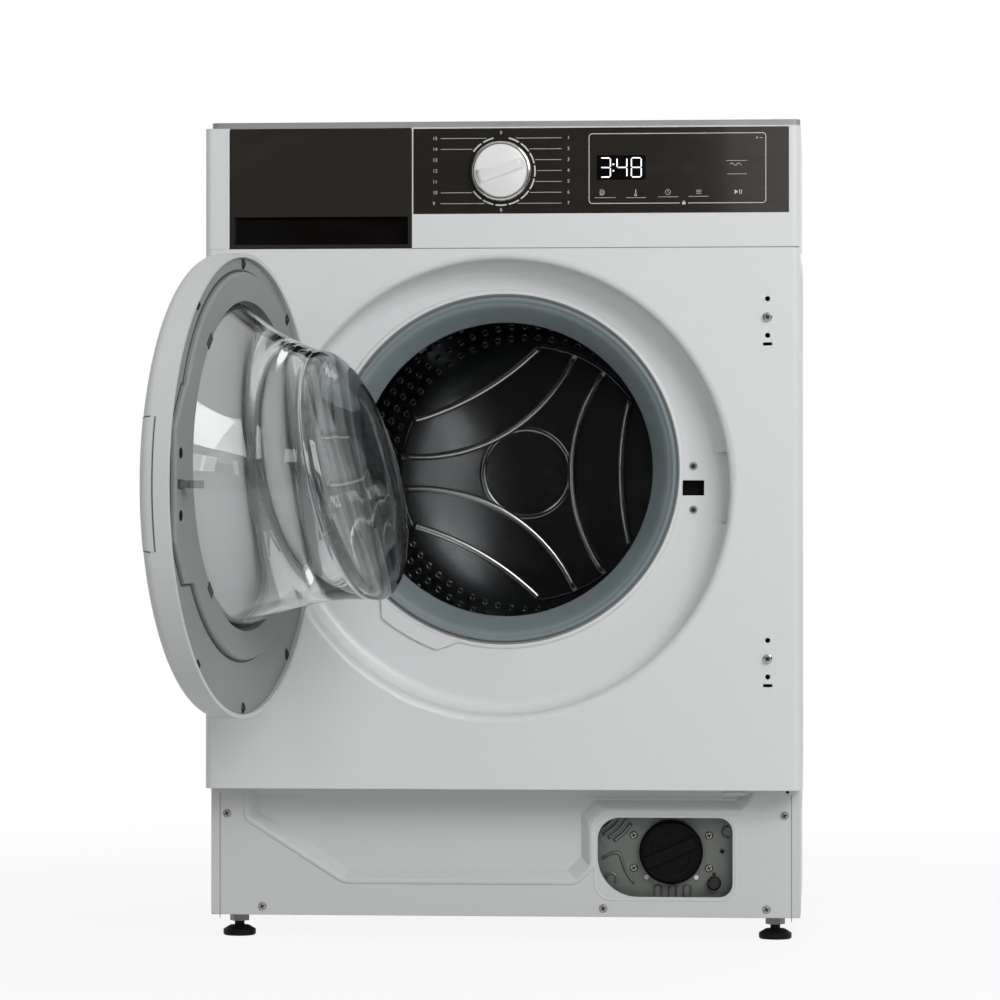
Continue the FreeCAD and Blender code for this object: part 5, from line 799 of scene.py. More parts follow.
class WASHER_OT_panel_print(bpy.types.Operator):
    """Print the frame, the key bars and the key signs beside the display"""

    bl_idname = "washer.panel_print"
    bl_label = "Panel print"

    bars = ((93.2, 114.6, 742.7), (124.8, 144.7, 742.5), (156.4, 176.8, 743.2), (186.7, 207.1, 743.5),
            (224.2, 245.1, 778.9), (225.2, 244.6, 765.6))      # left end, right end and height

    def signs(self, shape, deep):
        """Swirl, thermometer, clock, list, start and pause, wave, padlock, and a dot with a dash."""
        level = 747.9
        swirl, stem, clock, rows, start, lock = 100.5, 134.4, 166.4, 194.6, 232.6, 182.3
        for step in range(3):
            first = 20 + step * 100
            shape.line(arc((swirl, level), 0.9 + step * 0.9, first, first + 280, 12), 0.4, deep)
        shape.line([(stem, level - 1.7), (stem, level + 2.5)], 0.9, deep)
        shape.line(arc((stem, level - 2.5), 1.1, 0, 342, 14), 0.6, deep)
        shape.line(arc((clock, level + 0.1), 2.6, 0, 350, 20), 0.4, deep, loop=True)
        shape.line([(clock, level + 2.0), (clock, level + 0.1), (clock + 1.5, level - 0.7)], 0.4, deep)
        for step in range(3):
            height = level - 1.5 + step * 1.6
            shape.line([(rows, height), (rows + 5.0, height)], 0.45, deep)
        low, high = level - 2.3, level + 2.3
        shape.sheet([(start, low), (start + 3.4, level), (start, high)], deep)
        for x in (start + 5.0, start + 6.8):
            shape.line([(x, low), (x, high)], 0.7, deep)
        shape.line([(228.0 + 0.7 * n, 775.4 + 1.1 * math.sin(0.63 * n)) for n in range(18)], 0.45, deep)
        shape.sheet(rounded(lock - 1.7, lock + 1.7, 735.6, 738.0, 0.4, 3), deep)
        shape.line(arc((lock, 738.0), 1.1, 0, 180, 8), 0.5, deep)
        dot = (255.0, 801.6)
        shape.sheet(arc(dot, 0.9, 0, 342, 12), deep)
        shape.line([(dot[0] + 2.6, dot[1]), (dot[0] + 5.6, dot[1])], 0.5, deep)

    def execute(self, context):
        shape = Shape()
        deep = FRONT - PRINT
        low = 737.0
        outline = rounded(87.9, 263.6, low, 806.4, 3.2)
        corner = 7                  # points of the lower right corner, where the line starts and ends
        shape.line([(186.4, low), *outline[-corner:], *outline[:-corner], (178.2, low)], 0.75, deep)
        for start, stop, height in self.bars:
            shape.line([(start, height), (stop, height)], 0.4, deep)
        self.signs(shape, deep)
        shape.finished("panel_print", [marks()], "cabinet", "dark_glass")
        return {"FINISHED"}


class WASHER_OT_knob(bpy.types.Operator):
    """Build the selector knob with its bright ring and sculpted cap"""

    bl_idname = "washer.knob"
    bl_label = "Selector knob"

    crown = 1.1                     # rise of the cap's middle
    tilt = 0.3                      # share by which the bar's upper side stands higher

    def cap(self, shape, radius, face, rise):
        """Cap scooped on both sides of a bar that runs from lower left to upper right."""
        lean = math.radians(17.0)
        half_wide, taper, steep, plain = 5.6, 1.4, 3.2, 0.8
        rows = []
        rings, steps = 26, 120
        for ring in range(rings + 1):
            away = radius * max(ring, 0.02) / rings
            row = []
            for turn in turns(steps):
                x, z = away * math.cos(turn), away * math.sin(turn)
                along = x * math.cos(lean) + z * math.sin(lean)
                across = -x * math.sin(lean) + z * math.cos(lean)
                half = half_wide - taper * along / radius
                crest = 1 / (1 + math.exp((abs(across) - half) * steep))
                crest *= 1 + self.tilt * max(-1.0, min(1.0, across / half))
                dome = self.crown * (1 - (away / radius) ** 2)
                fade = 1 - max(0.0, (away / radius - plain) / (1 - plain)) ** 2
                row.append(shape.point(KNOB[0] + x, face - dome - rise * crest * fade, KNOB[1] + z))
            rows.append(row)
        shape.bridge(rows)
        shape.face(rows[0])

    def execute(self, context):
        low, high = in_mm(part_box("selector_knob"))
        back, front = high.y, low.y
        shape = Shape()
        rise = size_of("knob_rise")
        face = front + rise * (1 + self.tilt) + self.crown
        steps, cap_radius = 120, 24.8
        bezel = [(back, 8.0), (back, 29.4), (back - 1.0, 30.0), (back - 4.8, 30.0), (back - 6.2, 29.3),
                 (back - 6.6, 28.2), (back - 6.3, 27.5), (back - 5.4, 27.2)]
        # The gap between bezel and cap is lined in near-black as painted shade.
        gap = [(back - 5.4, 27.2), (back - 6.6, 26.9)]
        side = [(back - 6.6, 26.9), (face + 2.4, 26.6), (face + 0.8, 26.0), (face, cap_radius)]
        for profile, finish in ((bezel, 1), (gap, 2), (side, 0)):
            shape.lathe(KNOB, profile, steps, finish)
        self.cap(shape, cap_radius, face, rise)
        ring = extra_finish("knob_ring", bright, linear((0.86, 0.86, 0.85)), 0.06)
        cap = extra_finish("knob_cap", satin, linear((0.94, 0.945, 0.94)))
        made = shape.finished("knob_cap", [cap, ring, deep_black()], "knob", "knob_white")
        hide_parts("selector_knob")
        return {"FINISHED"}


class WASHER_OT_gasket(bpy.types.Operator):
    """Build the door gasket with its lip, cone and fold"""

    bl_idname = "washer.gasket"
    bl_label = "Door gasket"

    def execute(self, context):
        shape = Shape()
        lip = 173.5
        shape.lathe(PORT, [
            (-224.4, 172.5), (-224.8, 168.7), (-226.0, 168.7), (-226.0, lip), (-228.4, lip),
            (-229.4, 173.0), (-229.9, 172.1), (-230.0, 171.0), (-229.8, 169.9), (-229.2, 169.1),
            (-228.3, 168.5), (-227.6, 167.4), (-226.9, 165.9), (-224.0, 163.0), (-218.0, 158.9),
            (-210.0, 154.0), (-204.6, 150.6), (-202.4, 149.2), (-201.0, 148.6), (-200.2, 148.9),
            (-200.0, 150.0), (-200.8, 152.4), (-203.2, 156.0), (-206.6, 160.2), (-207.9, 164.0),
            (-206.8, 168.0), (-203.6, 170.4), (-200.6, 173.4), (-200.0, 178.0), (-199.7, 181.0),
            (-196.0, 182.1), (-169.0, 182.1), (-168.0, 183.4), (-169.0, 185.0), (-200.4, 185.0),
            (-202.8, 183.0), (-204.0, 176.0), (-207.6, 171.6), (-210.6, 167.4), (-211.4, 164.6),
            (-212.6, 166.8), (-216.0, 170.8), (-219.2, 172.5), (-224.4, 172.5)], 192)
        made = shape.finished("door_gasket", [finish_of("rubber_grey")], None, "rubber_grey", 60.0)
        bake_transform(made)
        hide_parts("gasket")
        return {"FINISHED"}


class WASHER_OT_drum_holes(bpy.types.Operator):
    """Set rimmed holes on the drum's back and shell, each floored with a dark disc of painted shade"""

    bl_idname = "washer.drum_holes"
    bl_label = "Drum holes"

    lifters = (10, 130, 250)        # degrees round the drum
    lifter_room = 8.5               # degrees on each side that a lifter covers

    def under_lifter(self, turn):
        degrees = math.degrees(turn)
        return min(abs((degrees - lifter + 180) % 360 - 180) for lifter in self.lifters) < self.lifter_room

    def execute(self, context):
        shape = Shape()
        radius = size_of("hole_radius")
        section = ((1.9, 0.0), (1.6, 0.45), (1.2, 0.8), (1.0, 0.6), (0.92, 0.1))
        rim = [(radius * share, rise) for share, rise in section]
        back, circles, first_circle, circle_pitch = 126.8, 6, 148.0, 12.5
        for number in range(circles):
            circle = first_circle + number * circle_pitch
            count = 3 * round(2 * math.pi * circle / size_of("hole_pitch") / 3)
            for turn in turns(count, 0.5 * (number % 2)):
                centre = (PORT[0] + circle * math.cos(turn), back, PORT[1] + circle * math.sin(turn))
                shape.cup(centre, FORWARD, rim, floor=1)
        wall, rows, first_row, row_pitch, count = 227.0, 13, -128.0, 19.0, 72
        for row in range(rows):
            for turn in turns(count, 0.5 * (row % 2)):
                if self.under_lifter(turn):
                    continue
                out = Vector((math.cos(turn), 0, math.sin(turn)))
                centre = Vector((PORT[0], first_row + row * row_pitch, PORT[1])) + out * wall
                shape.cup(centre, -out, rim, 10, floor=1)
        # The hole floors are near-black: painted shade for the openings.
        shape.finished("drum_holes", [finish_of("drum_steel"), deep_black()], "drum", "drum_steel")
        return {"FINISHED"}


class WASHER_OT_star_edges(bpy.types.Operator):
    """Roll the pressed edges of the star on the drum's back, in a paler steel as a painted highlight"""

    bl_idname = "washer.star_edges"
    bl_label = "Star edges"

    # Radius, nearest point to the axis, degrees on each side and depth of each arc
    arms = ((318.0, 105.0, 14.3, 115.8), (183.0, 52.0, 36.0, 104.8))

    def execute(self, context):
        shape = Shape()
        wide, rise, outside, sunk, steps = 7.6, 2.6, 3.4, 0.4, 10
        for turn in (0, 120, 240):
            angle = math.radians(turn)
            for radius, nearest, reach, face in self.arms:
                far = radius + nearest
                middle = (PORT[0] + far * math.cos(angle), PORT[1] + far * math.sin(angle))
                path = arc(middle, radius + outside, turn + 180 - reach, turn + 180 + reach, 48)
                shape.bead(path, wide, rise, face + sunk, steps=steps)
        boss, boss_wide, boss_rise, boss_face = 48.0, 7.0, 1.0, 104.9
        shape.bead(arc(PORT, boss, 0, 357, 119), boss_wide, boss_rise, boss_face, 1, True, steps)
        # Painted highlight: the rolled edges get a paler steel than the drum's darkened sheet.
        edge = extra_finish("rolled_steel", bright, (0.62, 0.62, 0.6), 0.1)
        shape.finished("star_edges", [edge, finish_of("drum_steel")], "drum", "drum_steel")
        return {"FINISHED"}


class WASHER_OT_glass_bowl(bpy.types.Operator):
    """Build the door's pressed glass bowl with its thick, domed and tilted end"""

    bl_idname = "washer.glass_bowl"
    bl_label = "Glass bowl"

    foot, end = 155.0, 122.0        # outer radius at the ring and at the end
    seat, depth = 19.8, 110.0       # foot behind the hinge axis, and end behind the foot
    drop = 9.0                      # end below the foot
    lean = math.radians(14.0)       # of the end
    band_at, band_wide = 0.62, 0.14     # share of the depth where the wall swells

    def ring(self, shape, deep, drop, radius, tilt, rise=0.0):
        """One ring of the bowl, leaning back at its top and pushed out along its own axis."""
        middle = HINGE[1] + deep + rise * math.cos(tilt)
        height = PORT[1] - drop + rise * math.sin(tilt)
        made = []
        for turn in turns(96):
            up = radius * math.sin(turn)
            made.append(shape.point(PORT[0] + radius * math.cos(turn), middle - up * math.sin(tilt),
                                    height + up * math.cos(tilt)))
        return made

    def skin(self, shape, wall, dome, swell):
        """Rings from the bowl's foot to its crown, drawn in by a wall that swells in a band."""
        rings = []
        rows = 26
        for row in range(rows + 1):
            share = row / rows
            band = swell * math.exp(-((share - self.band_at) / self.band_wide) ** 2)
            radius = self.foot + (self.end - self.foot) * (1 - (1 - share) ** 2) - wall - band
            deep = self.seat + (self.depth - wall) * share
            rings.append(self.ring(shape, deep, self.drop * share ** 2, radius, self.lean * share))
        rows = 18
        for row in range(1, rows + 1):
            turn = math.radians(89.0 * row / rows)
            radius = (self.end - wall) * math.cos(turn) ** 0.85
            deep = self.seat + self.depth - wall
            rings.append(self.ring(shape, deep, self.drop, radius, self.lean, dome * math.sin(turn)))
        return rings

    def execute(self, context):
        shape = Shape(swung)
        inner_dome, outer_dome, swell = 24.0, 32.0, 6.0
        back, mouth, flange = 15.8, 150.0, 168.0
        inner = self.skin(shape, size_of("glass_wall"), inner_dome, swell)
        rim = [self.ring(shape, deep, 0.0, radius, 0.0)
               for deep, radius in ((back, mouth), (back, flange), (back + 4.0, flange))]
        outer = self.skin(shape, 0.0, outer_dome, 0.0)
        shape.bridge([*reversed(inner), *rim, *outer])
        shape.face(inner[-1])
        shape.face(outer[-1])
        made = shape.finished("glass_bowl", [finish_of("bowl_glass")], "door", "bowl_glass", 60.0)
        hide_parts("door_glass")
        return {"FINISHED"}


class WASHER_OT_door_trim(bpy.types.Operator):
    """Add the door's finger pull, clips, plugs, shadow line and screw sockets"""

    bl_idname = "washer.door_trim"
    bl_label = "Door trim"

    pull_half = 16.1                # degrees on each side of the pull's middle
    screw_turns = (52.0, 90.0, 129.0, 231.0, 270.0, 308.0)

    def pull(self):
        """Strip wrapped round the rim, with thin lines of painted shadow for the groove at its edges."""
        shape = Shape(swung)
        half, groove = self.pull_half, 0.16
        low = HINGE[1] - 3.2
        proud, rim, round_off = 0.35, DOOR_RADIUS, 10.0
        profile = [(low + 14.0, rim), (low + 14.0, rim + proud)]
        for step in range(9):
            turn = math.radians(90 * step / 8)
            profile.append((low + round_off - (round_off + proud) * math.sin(turn),
                            rim - round_off + (round_off + proud) * math.cos(turn)))
        profile.append((low - proud, rim - 13.0))
        profile.append((low + 0.2, rim - 13.2))
        shape.lathe(DOOR_MIDDLE, profile, 40, 0, -half, half)
        for turn in (-half, half):
            shape.lathe(DOOR_MIDDLE, [(deep, radius + 0.02) for deep, radius in profile[2:-2]], 2, 1,
                        turn - groove, turn + groove)
        shape.lathe(DOOR_MIDDLE, [(low + 13.6, rim + proud + 0.04), (low + 15.2, rim + 0.12)], 40, 1,
                    -half, half)
        shadow = extra_finish("shadow_groove", moulded, linear((0.3, 0.31, 0.31)))
        shape.finished("door_pull", [finish_of("door_white"), shadow], "door", "door_white")

    def clips(self):
        """Clips that hold the glass, and the plugs beside the hook, their middles in painted shade."""
        shape = Shape(swung)
        face = RING_FACE + 5.0
        half, inner, outer = 7.5, 155.5, 163.0
        for turn in (46.0, -47.0):
            middle = math.radians(turn)
            out = Vector((math.cos(middle), math.sin(middle)))
            side = Vector((-out.y, out.x))
            corners = [out * away + side * along + Vector(PORT)
                       for along, away in ((half, inner), (half, outer), (-half, outer), (-half, inner))]
            shape.block([(corner.x, corner.y) for corner in corners], face - 3.0, face + 0.7)
        for side in (-28.5, 28.5):
            shape.cup((LOCK_X, face, DOOR_MIDDLE[1] + side), BACKWARD,
                      [(6.4, 0.0), (6.2, 0.35), (5.6, 0.35), (5.2, 0.05)], 20, 1, 2)
        finishes = [clip_grey(), finish_of("door_grey"), deep_black()]
        shape.finished("door_clips", finishes, "door", "black_plastic")

    def groove(self):
        """Shadow line at the foot of the ring's raised middle."""
        shape = Shape(swung)
        half, radius, inner, outer, slant = 91.0, 186.2, 175.2, 204.2, 38.6
        low, high = DOOR_MIDDLE[1] - half, DOOR_MIDDLE[1] + half
        start = math.degrees(math.asin((high - PORT[1]) / radius))
        end = 360 + math.degrees(math.asin((low - PORT[1]) / radius))
        path = arc(PORT, radius, start, end, 90)
        path += [(inner, low - 1.2), (outer, low + slant), (outer, high - slant), (inner, high + 1.2)]
        shape.line(path, 2.4, RING_FACE + PRINT, 0, True)
        shape.finished("ring_groove", [clip_grey()], "door", "door_grey")

    def sockets(self):
        """Rimmed sockets of the ring's screws, their floors and driver recesses in painted shade."""
        shape = Shape(swung)
        for turn in self.screw_turns:
            angle = math.radians(turn)
            across, up = RING_SCREWS * math.cos(angle), RING_SCREWS * math.sin(angle)
            centre = (across, RING_FACE, DOOR_MIDDLE[1] + up)
            shape.cup(centre, BACKWARD, [(6.6, 0.0), (6.4, 0.5), (5.9, 0.6), (5.5, 0.2)], 20, 0, 1)
            shape.recess(centre, BACKWARD, 2.25, 1.7, 1)
        shape.finished("ring_sockets", [finish_of("door_grey"), deep_black()], "door", "door_grey")

    def execute(self, context):
        self.pull()
        self.clips()
        self.groove()
        self.sockets()
        return {"FINISHED"}


class WASHER_OT_filter_plate(bpy.types.Operator):
    """Press ribs, fins and eyelets into the filter plate"""

    bl_idname = "washer.filter_plate"
    bl_label = "Filter plate pressing"

    def ribs(self, shape):
        """Four nested bows, a winding rib and an open ring."""
        rise = size_of("plate_rib")
        for number in range(4):
            middle, radius = (78.0 + number * 1.2, 142.5), 38.44 + number * 4.712
            shape.bead(arc(middle, radius, 292 + number * 3, 347 - number * 6, 14), 4.2, rise, PLATE)
        shape.bead([(96.5, 79.0), (101.0, 82.0), (107.5, 85.2), (113.5, 85.6), (116.2, 82.0), (117.8, 76.0),
                    (121.0, 67.5), (126.5, 58.5), (131.0, 53.8)], 3.4, rise, PLATE)
        shape.bead(arc((106.5, 59.5), 5.2, -60, 190, 12), 2.6, 1.4, PLATE)

    def fins(self, shape):
        """Three raised loops below the cap."""
        for left in (150.2, 165.0, 179.6):
            right = left + 7.2
            for x in (left, right):
                shape.bead([(x, height) for height in (39.4, 42.0, 46.0, 50.0, 53.0)], 1.7, 2.6, PLATE)
            top = [(left, 51.6), (left + 2.4, 53.2), (right - 2.4, 53.2), (right, 51.6)]
            shape.bead(top, 1.6, 1.6, PLATE)

    def eyelets(self, shape):
        """Two pale eyelets, a hole laid as painted shade, a bent lug and two tabs."""
        for x in (142.2, 192.4):
            shape.cup((x, PLATE, 61.0), FORWARD, [(3.1, 0.0), (2.9, 0.3), (2.5, 0.3), (2.4, 0.12)], 18, 0, 2)
        shape.cup((218.6, PLATE, 87.2), FORWARD, [(3.4, 0.0), (3.1, 0.5), (2.3, 0.5), (2.0, 0.12)], 18, 0, 1)
        shape.bead(arc((224.0, 107.0), 5.5, 70, 290, 10), 2.4, 1.6, PLATE)
        for x in (153.0, 184.0):
            shape.block(rounded(x - 4.0, x + 4.0, 116.4, 120.4, 1.2, 3), PLATE, PLATE - 1.6, 0.5)

    def plug(self):
        """Tab above the drain plug and the sunk middle of its face."""
        shape = Shape()
        x, z = 210.6, 55.5
        half, low, high = 1.4, z + 6.2, z + 10.4
        tab = [(x - half, low), (x + half, low), (x + half, high), (x - half, high)]
        shape.block(tab, PLATE, PLATE - 2.6, 0.5)
        face = PLATE - 12.5
        floor = face + 0.9
        profile = [(face + 0.6, 6.0), (face, 5.2), (face, 3.4), (floor, 2.8), (floor, 0.6)]
        shape.lathe((x, z), profile, 40, cap=True)
        shape.finished("drain_plug_tab", [finish_of("plug_black")], "cabinet", "plug_black")

    def execute(self, context):
        shape = Shape()
        self.ribs(shape)
        self.fins(shape)
        self.eyelets(shape)
        pale = extra_finish("pale_eyelet", moulded, linear((0.93, 0.93, 0.92)))
        finishes = [MADE["plate_zinc"], deep_black(), pale]
        shape.finished("filter_plate_pressing", finishes, "cabinet", "zinc_sheet")
        self.plug()
        return {"FINISHED"}


class WASHER_OT_filter_cap(bpy.types.Operator):
    """Add the filter cap's raised rings and the ribs round its rim"""

    bl_idname = "washer.filter_cap"
    bl_label = "Filter cap trim"

    def rib(self, shape, turn):
        """Small roof along the rim."""
        rim, half_wide, rise = 31.9, 0.7, 0.5
        out = Vector((math.cos(turn), 0, math.sin(turn)))
        aside = Vector((-out.z, 0, out.x)) * half_wide
        centre = Vector((FILTER[0], PLATE - 5.5, FILTER[1])) + out * rim
        near, far = Vector((0, -4.0, 0)), Vector((0, 4.4, 0))
        base = [shape.point(*(centre + at)) for at in (near - aside, far - aside, far + aside, near + aside)]
        crest = [shape.point(*(centre + Vector((0, deep, 0)) + out * rise)) for deep in (-3.4, 3.8)]
        shape.face((base[0], base[1], crest[1], crest[0]))
        shape.face((base[2], base[3], crest[0], crest[1]))
        shape.face((base[3], base[0], crest[0]))
        shape.face((base[1], base[2], crest[1]))

    def execute(self, context):
        shape = Shape()
        face = PLATE - 12.3
        foot = face + 0.2
        for rise, radii in ((0.6, (29.6, 29.0, 27.2, 26.4)), (0.35, (21.4, 21.0, 20.2, 19.8))):
            shape.lathe(FILTER, list(zip((foot, face - rise, face - rise, foot), radii)))
        for turn in turns(48):
            self.rib(shape, turn)
        shape.finished("filter_cap_trim", [finish_of("filter_black")], "cap", "filter_black")
        return {"FINISHED"}


class WASHER_OT_plinth(bpy.types.Operator):
    """Add the plinth's raised bars, the rolled edge of its toe recess and its small hole, floored in painted
    shade
    """

    bl_idname = "washer.plinth"
    bl_label = "Plinth pressing"

    toe = ((-258.8, 149.5), (-258.8, 122.5), (-161.8, 60.6), (71.0, 60.6), (85.0, 74.6), (85.0, 117.6),
           (99.0, 131.6), (238.6, 131.6), (252.0, 149.5))      # edge of the toe recess

    def execute(self, context):
        shape = Shape()
        shape.bead([(-214, 147.2), (-212, 147.4), (-176, 147.6), (-172, 147.4)], 3.6, 1.1,
                   PLINTH_FACE + PLINTH_RECESS)
        shape.bead([(220, 147.0), (223, 147.2), (240, 147.2), (243, 147.0)], 3.4, 1.0, PLINTH_FACE)
        hole = [(2.6, 0.0), (2.4, 0.25), (1.8, 0.25), (1.7, 0.08)]
        shape.cup((284.5, PLINTH_FACE, 149.0), FORWARD, hole, 16, 0, 1)
        shape.bead(rounded(91.0, 232.6, 40.0, 125.6, 17.0, 8), 2.6, 0.55, PLINTH_FACE, loop=True)
        outside, corner, wide, rise = 3.4, 6.0, 5.6, 1.5
        rolled = softened(beside(self.toe, outside, False), corner)
        shape.bead(rolled, wide, rise, PLINTH_FACE, steps=10)
        finishes = [finish_of("plinth_enamel"), deep_black()]
        shape.finished("plinth_pressing", finishes, "cabinet", "plinth_enamel")
        return {"FINISHED"}


class WASHER_OT_seams(bpy.types.Operator):
    """Draw the shadow in the narrow joints of the front"""

    bl_idname = "washer.seams"
    bl_label = "Joint shadows"

    def execute(self, context):
        shape = Shape()
        lift = 0.06
        low, high = in_mm(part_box("control_fascia"))
        drawer_end = in_mm(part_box("drawer_front"))[1].x
        shape.line([(drawer_end + 1.0, low.z), (high.x - 1.0, low.z)], 0.9, FRONT - lift)
        for x in (-288.5, 288.5):
            shape.line([(x, 19.0), (x, 146.0)], 0.8, PLINTH_FACE - lift)
        shape.lathe(PORT, [(-226.35, 173.6), (-226.7, 174.1), (-227.35, 174.8), (-228.3, 176.0),
                           (-228.4, 176.6)], 192)
        seam = extra_finish("seam_shadow", moulded, linear((0.5, 0.51, 0.51)))
        shape.finished("front_seams", [seam], "cabinet", "white_enamel")
        return {"FINISHED"}


class WASHER_OT_side_pressings(bpy.types.Operator):
    """Press stiffening beads into both sides of the cabinet"""

    bl_idname = "washer.side_pressings"
    bl_label = "Side pressings"

    def execute(self, context):
        low, high = in_mm(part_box("cabinet_wrap"))
        sides = {
            "side_pressing_right": Shape(lambda x, y, z: (high.x - y, x, z)),
            "side_pressing_left": Shape(lambda x, y, z: (low.x + y, x, z)),
        }
        for name, shape in sides.items():
            shape.bead(rounded(-150.0, 205.0, 130.0, 690.0, 45.0, 10), 13.0, 1.3, 0.0, loop=True, steps=10)
            for across in (-62.0, 27.5, 117.0):
                upright = [(across, height) for height in (215.0, 222.0, 598.0, 605.0)]
                shape.bead(upright, 16.0, 1.2, 0.0, steps=10)
            shape.finished(name, [finish_of("white_enamel")], "cabinet", "white_enamel")
        return {"FINISHED"}


class WASHER_OT_screws(bpy.types.Operator):
    """Lay driver recesses of painted shade on the screws of panel, plinth and plates"""

    bl_idname = "washer.screws"
    bl_label = "Screw recesses"

    def execute(self, context):
        shape = Shape()
        places = [(x, PLINTH_FACE, 125.2) for x in (-281.5, 281.5)]
        places += [(x, PLINTH_FACE, 31.2) for x in (-245.5, 99.55, 263.5)]
        places += [(FILTER[0] + a * 38.0, PLATE, FILTER[1] + b * 16.5) for a in (-1, 1) for b in (-1, 1)]
        places += [(LOCK_X, DISH_FLOOR, DOOR_MIDDLE[1] + side * 21.9) for side in (-1, 1)]
        for centre in places:
            shape.recess(centre, FORWARD, 2.2, 2.5)
        for height in (623.3, 284.1):
            shape.recess((265.3, FRONT, height), FORWARD, 6.95, 2.4)
        shape.finished("screw_recesses", [deep_black()], "cabinet", "black_plastic")
        return {"FINISHED"}


class WASHER_OT_hoses(bpy.types.Operator):
    """Build the sump hose and the fill hose with their clips"""

    bl_idname = "washer.hoses"
    bl_label = "Hoses"

    def clipped(self, shape, name):
        """The hose in rubber, with its clips in plated steel."""
        finishes = [finish_of("rubber_black"), finish_of("nickel_steel")]
        return shape.finished(name, finishes, "cabinet", "rubber_black", 60.0)

    def sump(self):
        """Upright bellows with a band at each end."""
        low, high = in_mm(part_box("sump_hose"))
        middle = ((low.x + high.x) / 2, (low.y + high.y) / 2)
        foot, top = low.z, high.z
        bore, cuff, plain, folds, steps = 19.2, 22.0, 22.0, 5, 8
        profile = [(bore, foot), (cuff - 0.4, foot + 0.2), (cuff, foot + 1.0), (cuff, foot + plain - 2.0)]
        pitch = (top - foot - 2 * plain) / folds
        for fold in range(folds):
            start = foot + plain + fold * pitch
            for step in range(steps + 1):
                share = step / steps
                swell = 4.6 * math.sin(math.pi * share) ** 1.4
                profile.append((cuff + 0.2 + swell, start + pitch * share * 0.98))
        profile += [(cuff, top - plain + 2.0), (cuff, top - 1.0), (cuff - 0.4, top - 0.2), (bore, top)]
        shape = Shape()
        shape.post(middle, profile)
        for height in (foot + 8.0, top - 14.0):
            rim = cuff + 1.0
            band = [(cuff, height), (rim, height + 0.2), (rim, height + 5.8), (cuff, height + 6.0)]
            shape.post(middle, band, finish=1)
        hose = self.clipped(shape, "sump_bellows")
        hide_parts("sump_hose")

    def fill(self):
        """Ribbed hose that runs to the back, with a clip at each end."""
        low, high = in_mm(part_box("fill_hose"))
        middle = ((low.x + high.x) / 2, (low.z + high.z) / 2)
        near, far = low.y, high.y
        plain, ribs = 22.0, 30
        pitch = (far - near - 2 * plain) / ribs
        profile = [(near, 6.5), (near, 8.6), (near + 0.6, 9.0)]
        for rib in range(ribs):
            start = near + plain + rib * pitch
            profile += [(start, 8.4), (start + pitch * 0.25, 8.9), (start + pitch * 0.6, 8.9),
                        (start + pitch * 0.85, 8.4)]
        profile += [(far - plain + 1.0, 8.8), (far - 0.6, 9.0), (far, 8.6), (far, 6.5)]
        shape = Shape()
        shape.lathe(middle, profile, 32)
        for start in (near + 6.0, far - 12.0):
            band = [(start, 8.9), (start + 0.2, 9.6), (start + 5.8, 9.6), (start + 6.0, 8.9)]
            shape.lathe(middle, band, 32, 1)
        pipe = self.clipped(shape, "fill_pipe")
        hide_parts("fill_hose")

    def execute(self, context):
        self.sump()
        self.fill()
        return {"FINISHED"}


class WASHER_OT_belt(bpy.types.Operator):
    """Build the ribbed drive belt round both pulleys"""

    bl_idname = "washer.belt"
    bl_label = "Drive belt"

    motor = (0.0, 160.0)            # axis of the motor
    big, small = 140.0, 10.0        # radii of the pulleys
    room = 0.05                     # between a pulley and the belt

    def execute(self, context):
        low, high = in_mm(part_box("drive_belt"))
        near, far = low.y, high.y
        lean = math.degrees(math.asin((self.big - self.small) / (PORT[1] - self.motor[1])))
        thick, groove, ribs = 3.0, 1.2, 6
        wide = (far - near) / ribs
        section = [(near, thick), (near, 0.0)]
        for rib in range(ribs):
            start = near + wide * rib
            section += [(start + wide * 0.2, 0.0), (start + wide * 0.5, groove), (start + wide * 0.8, 0.0)]
        section += [(far, 0.0), (far, thick)]
        shape = Shape()
        rings = []
        for deep, grow in section:
            loop = (arc(PORT, self.big + self.room + grow, -lean, 180 + lean, 72)
                    + arc(self.motor, self.small + self.room + grow, 180 + lean, 360 - lean, 24))
            rings.append([shape.point(x, deep, z) for x, z in loop])
        shape.bridge([*rings, rings[0]])
        belt = shape.finished("ribbed_belt", [finish_of("rubber_black")], "tub", "rubber_black")
        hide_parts("drive_belt")
        return {"FINISHED"}


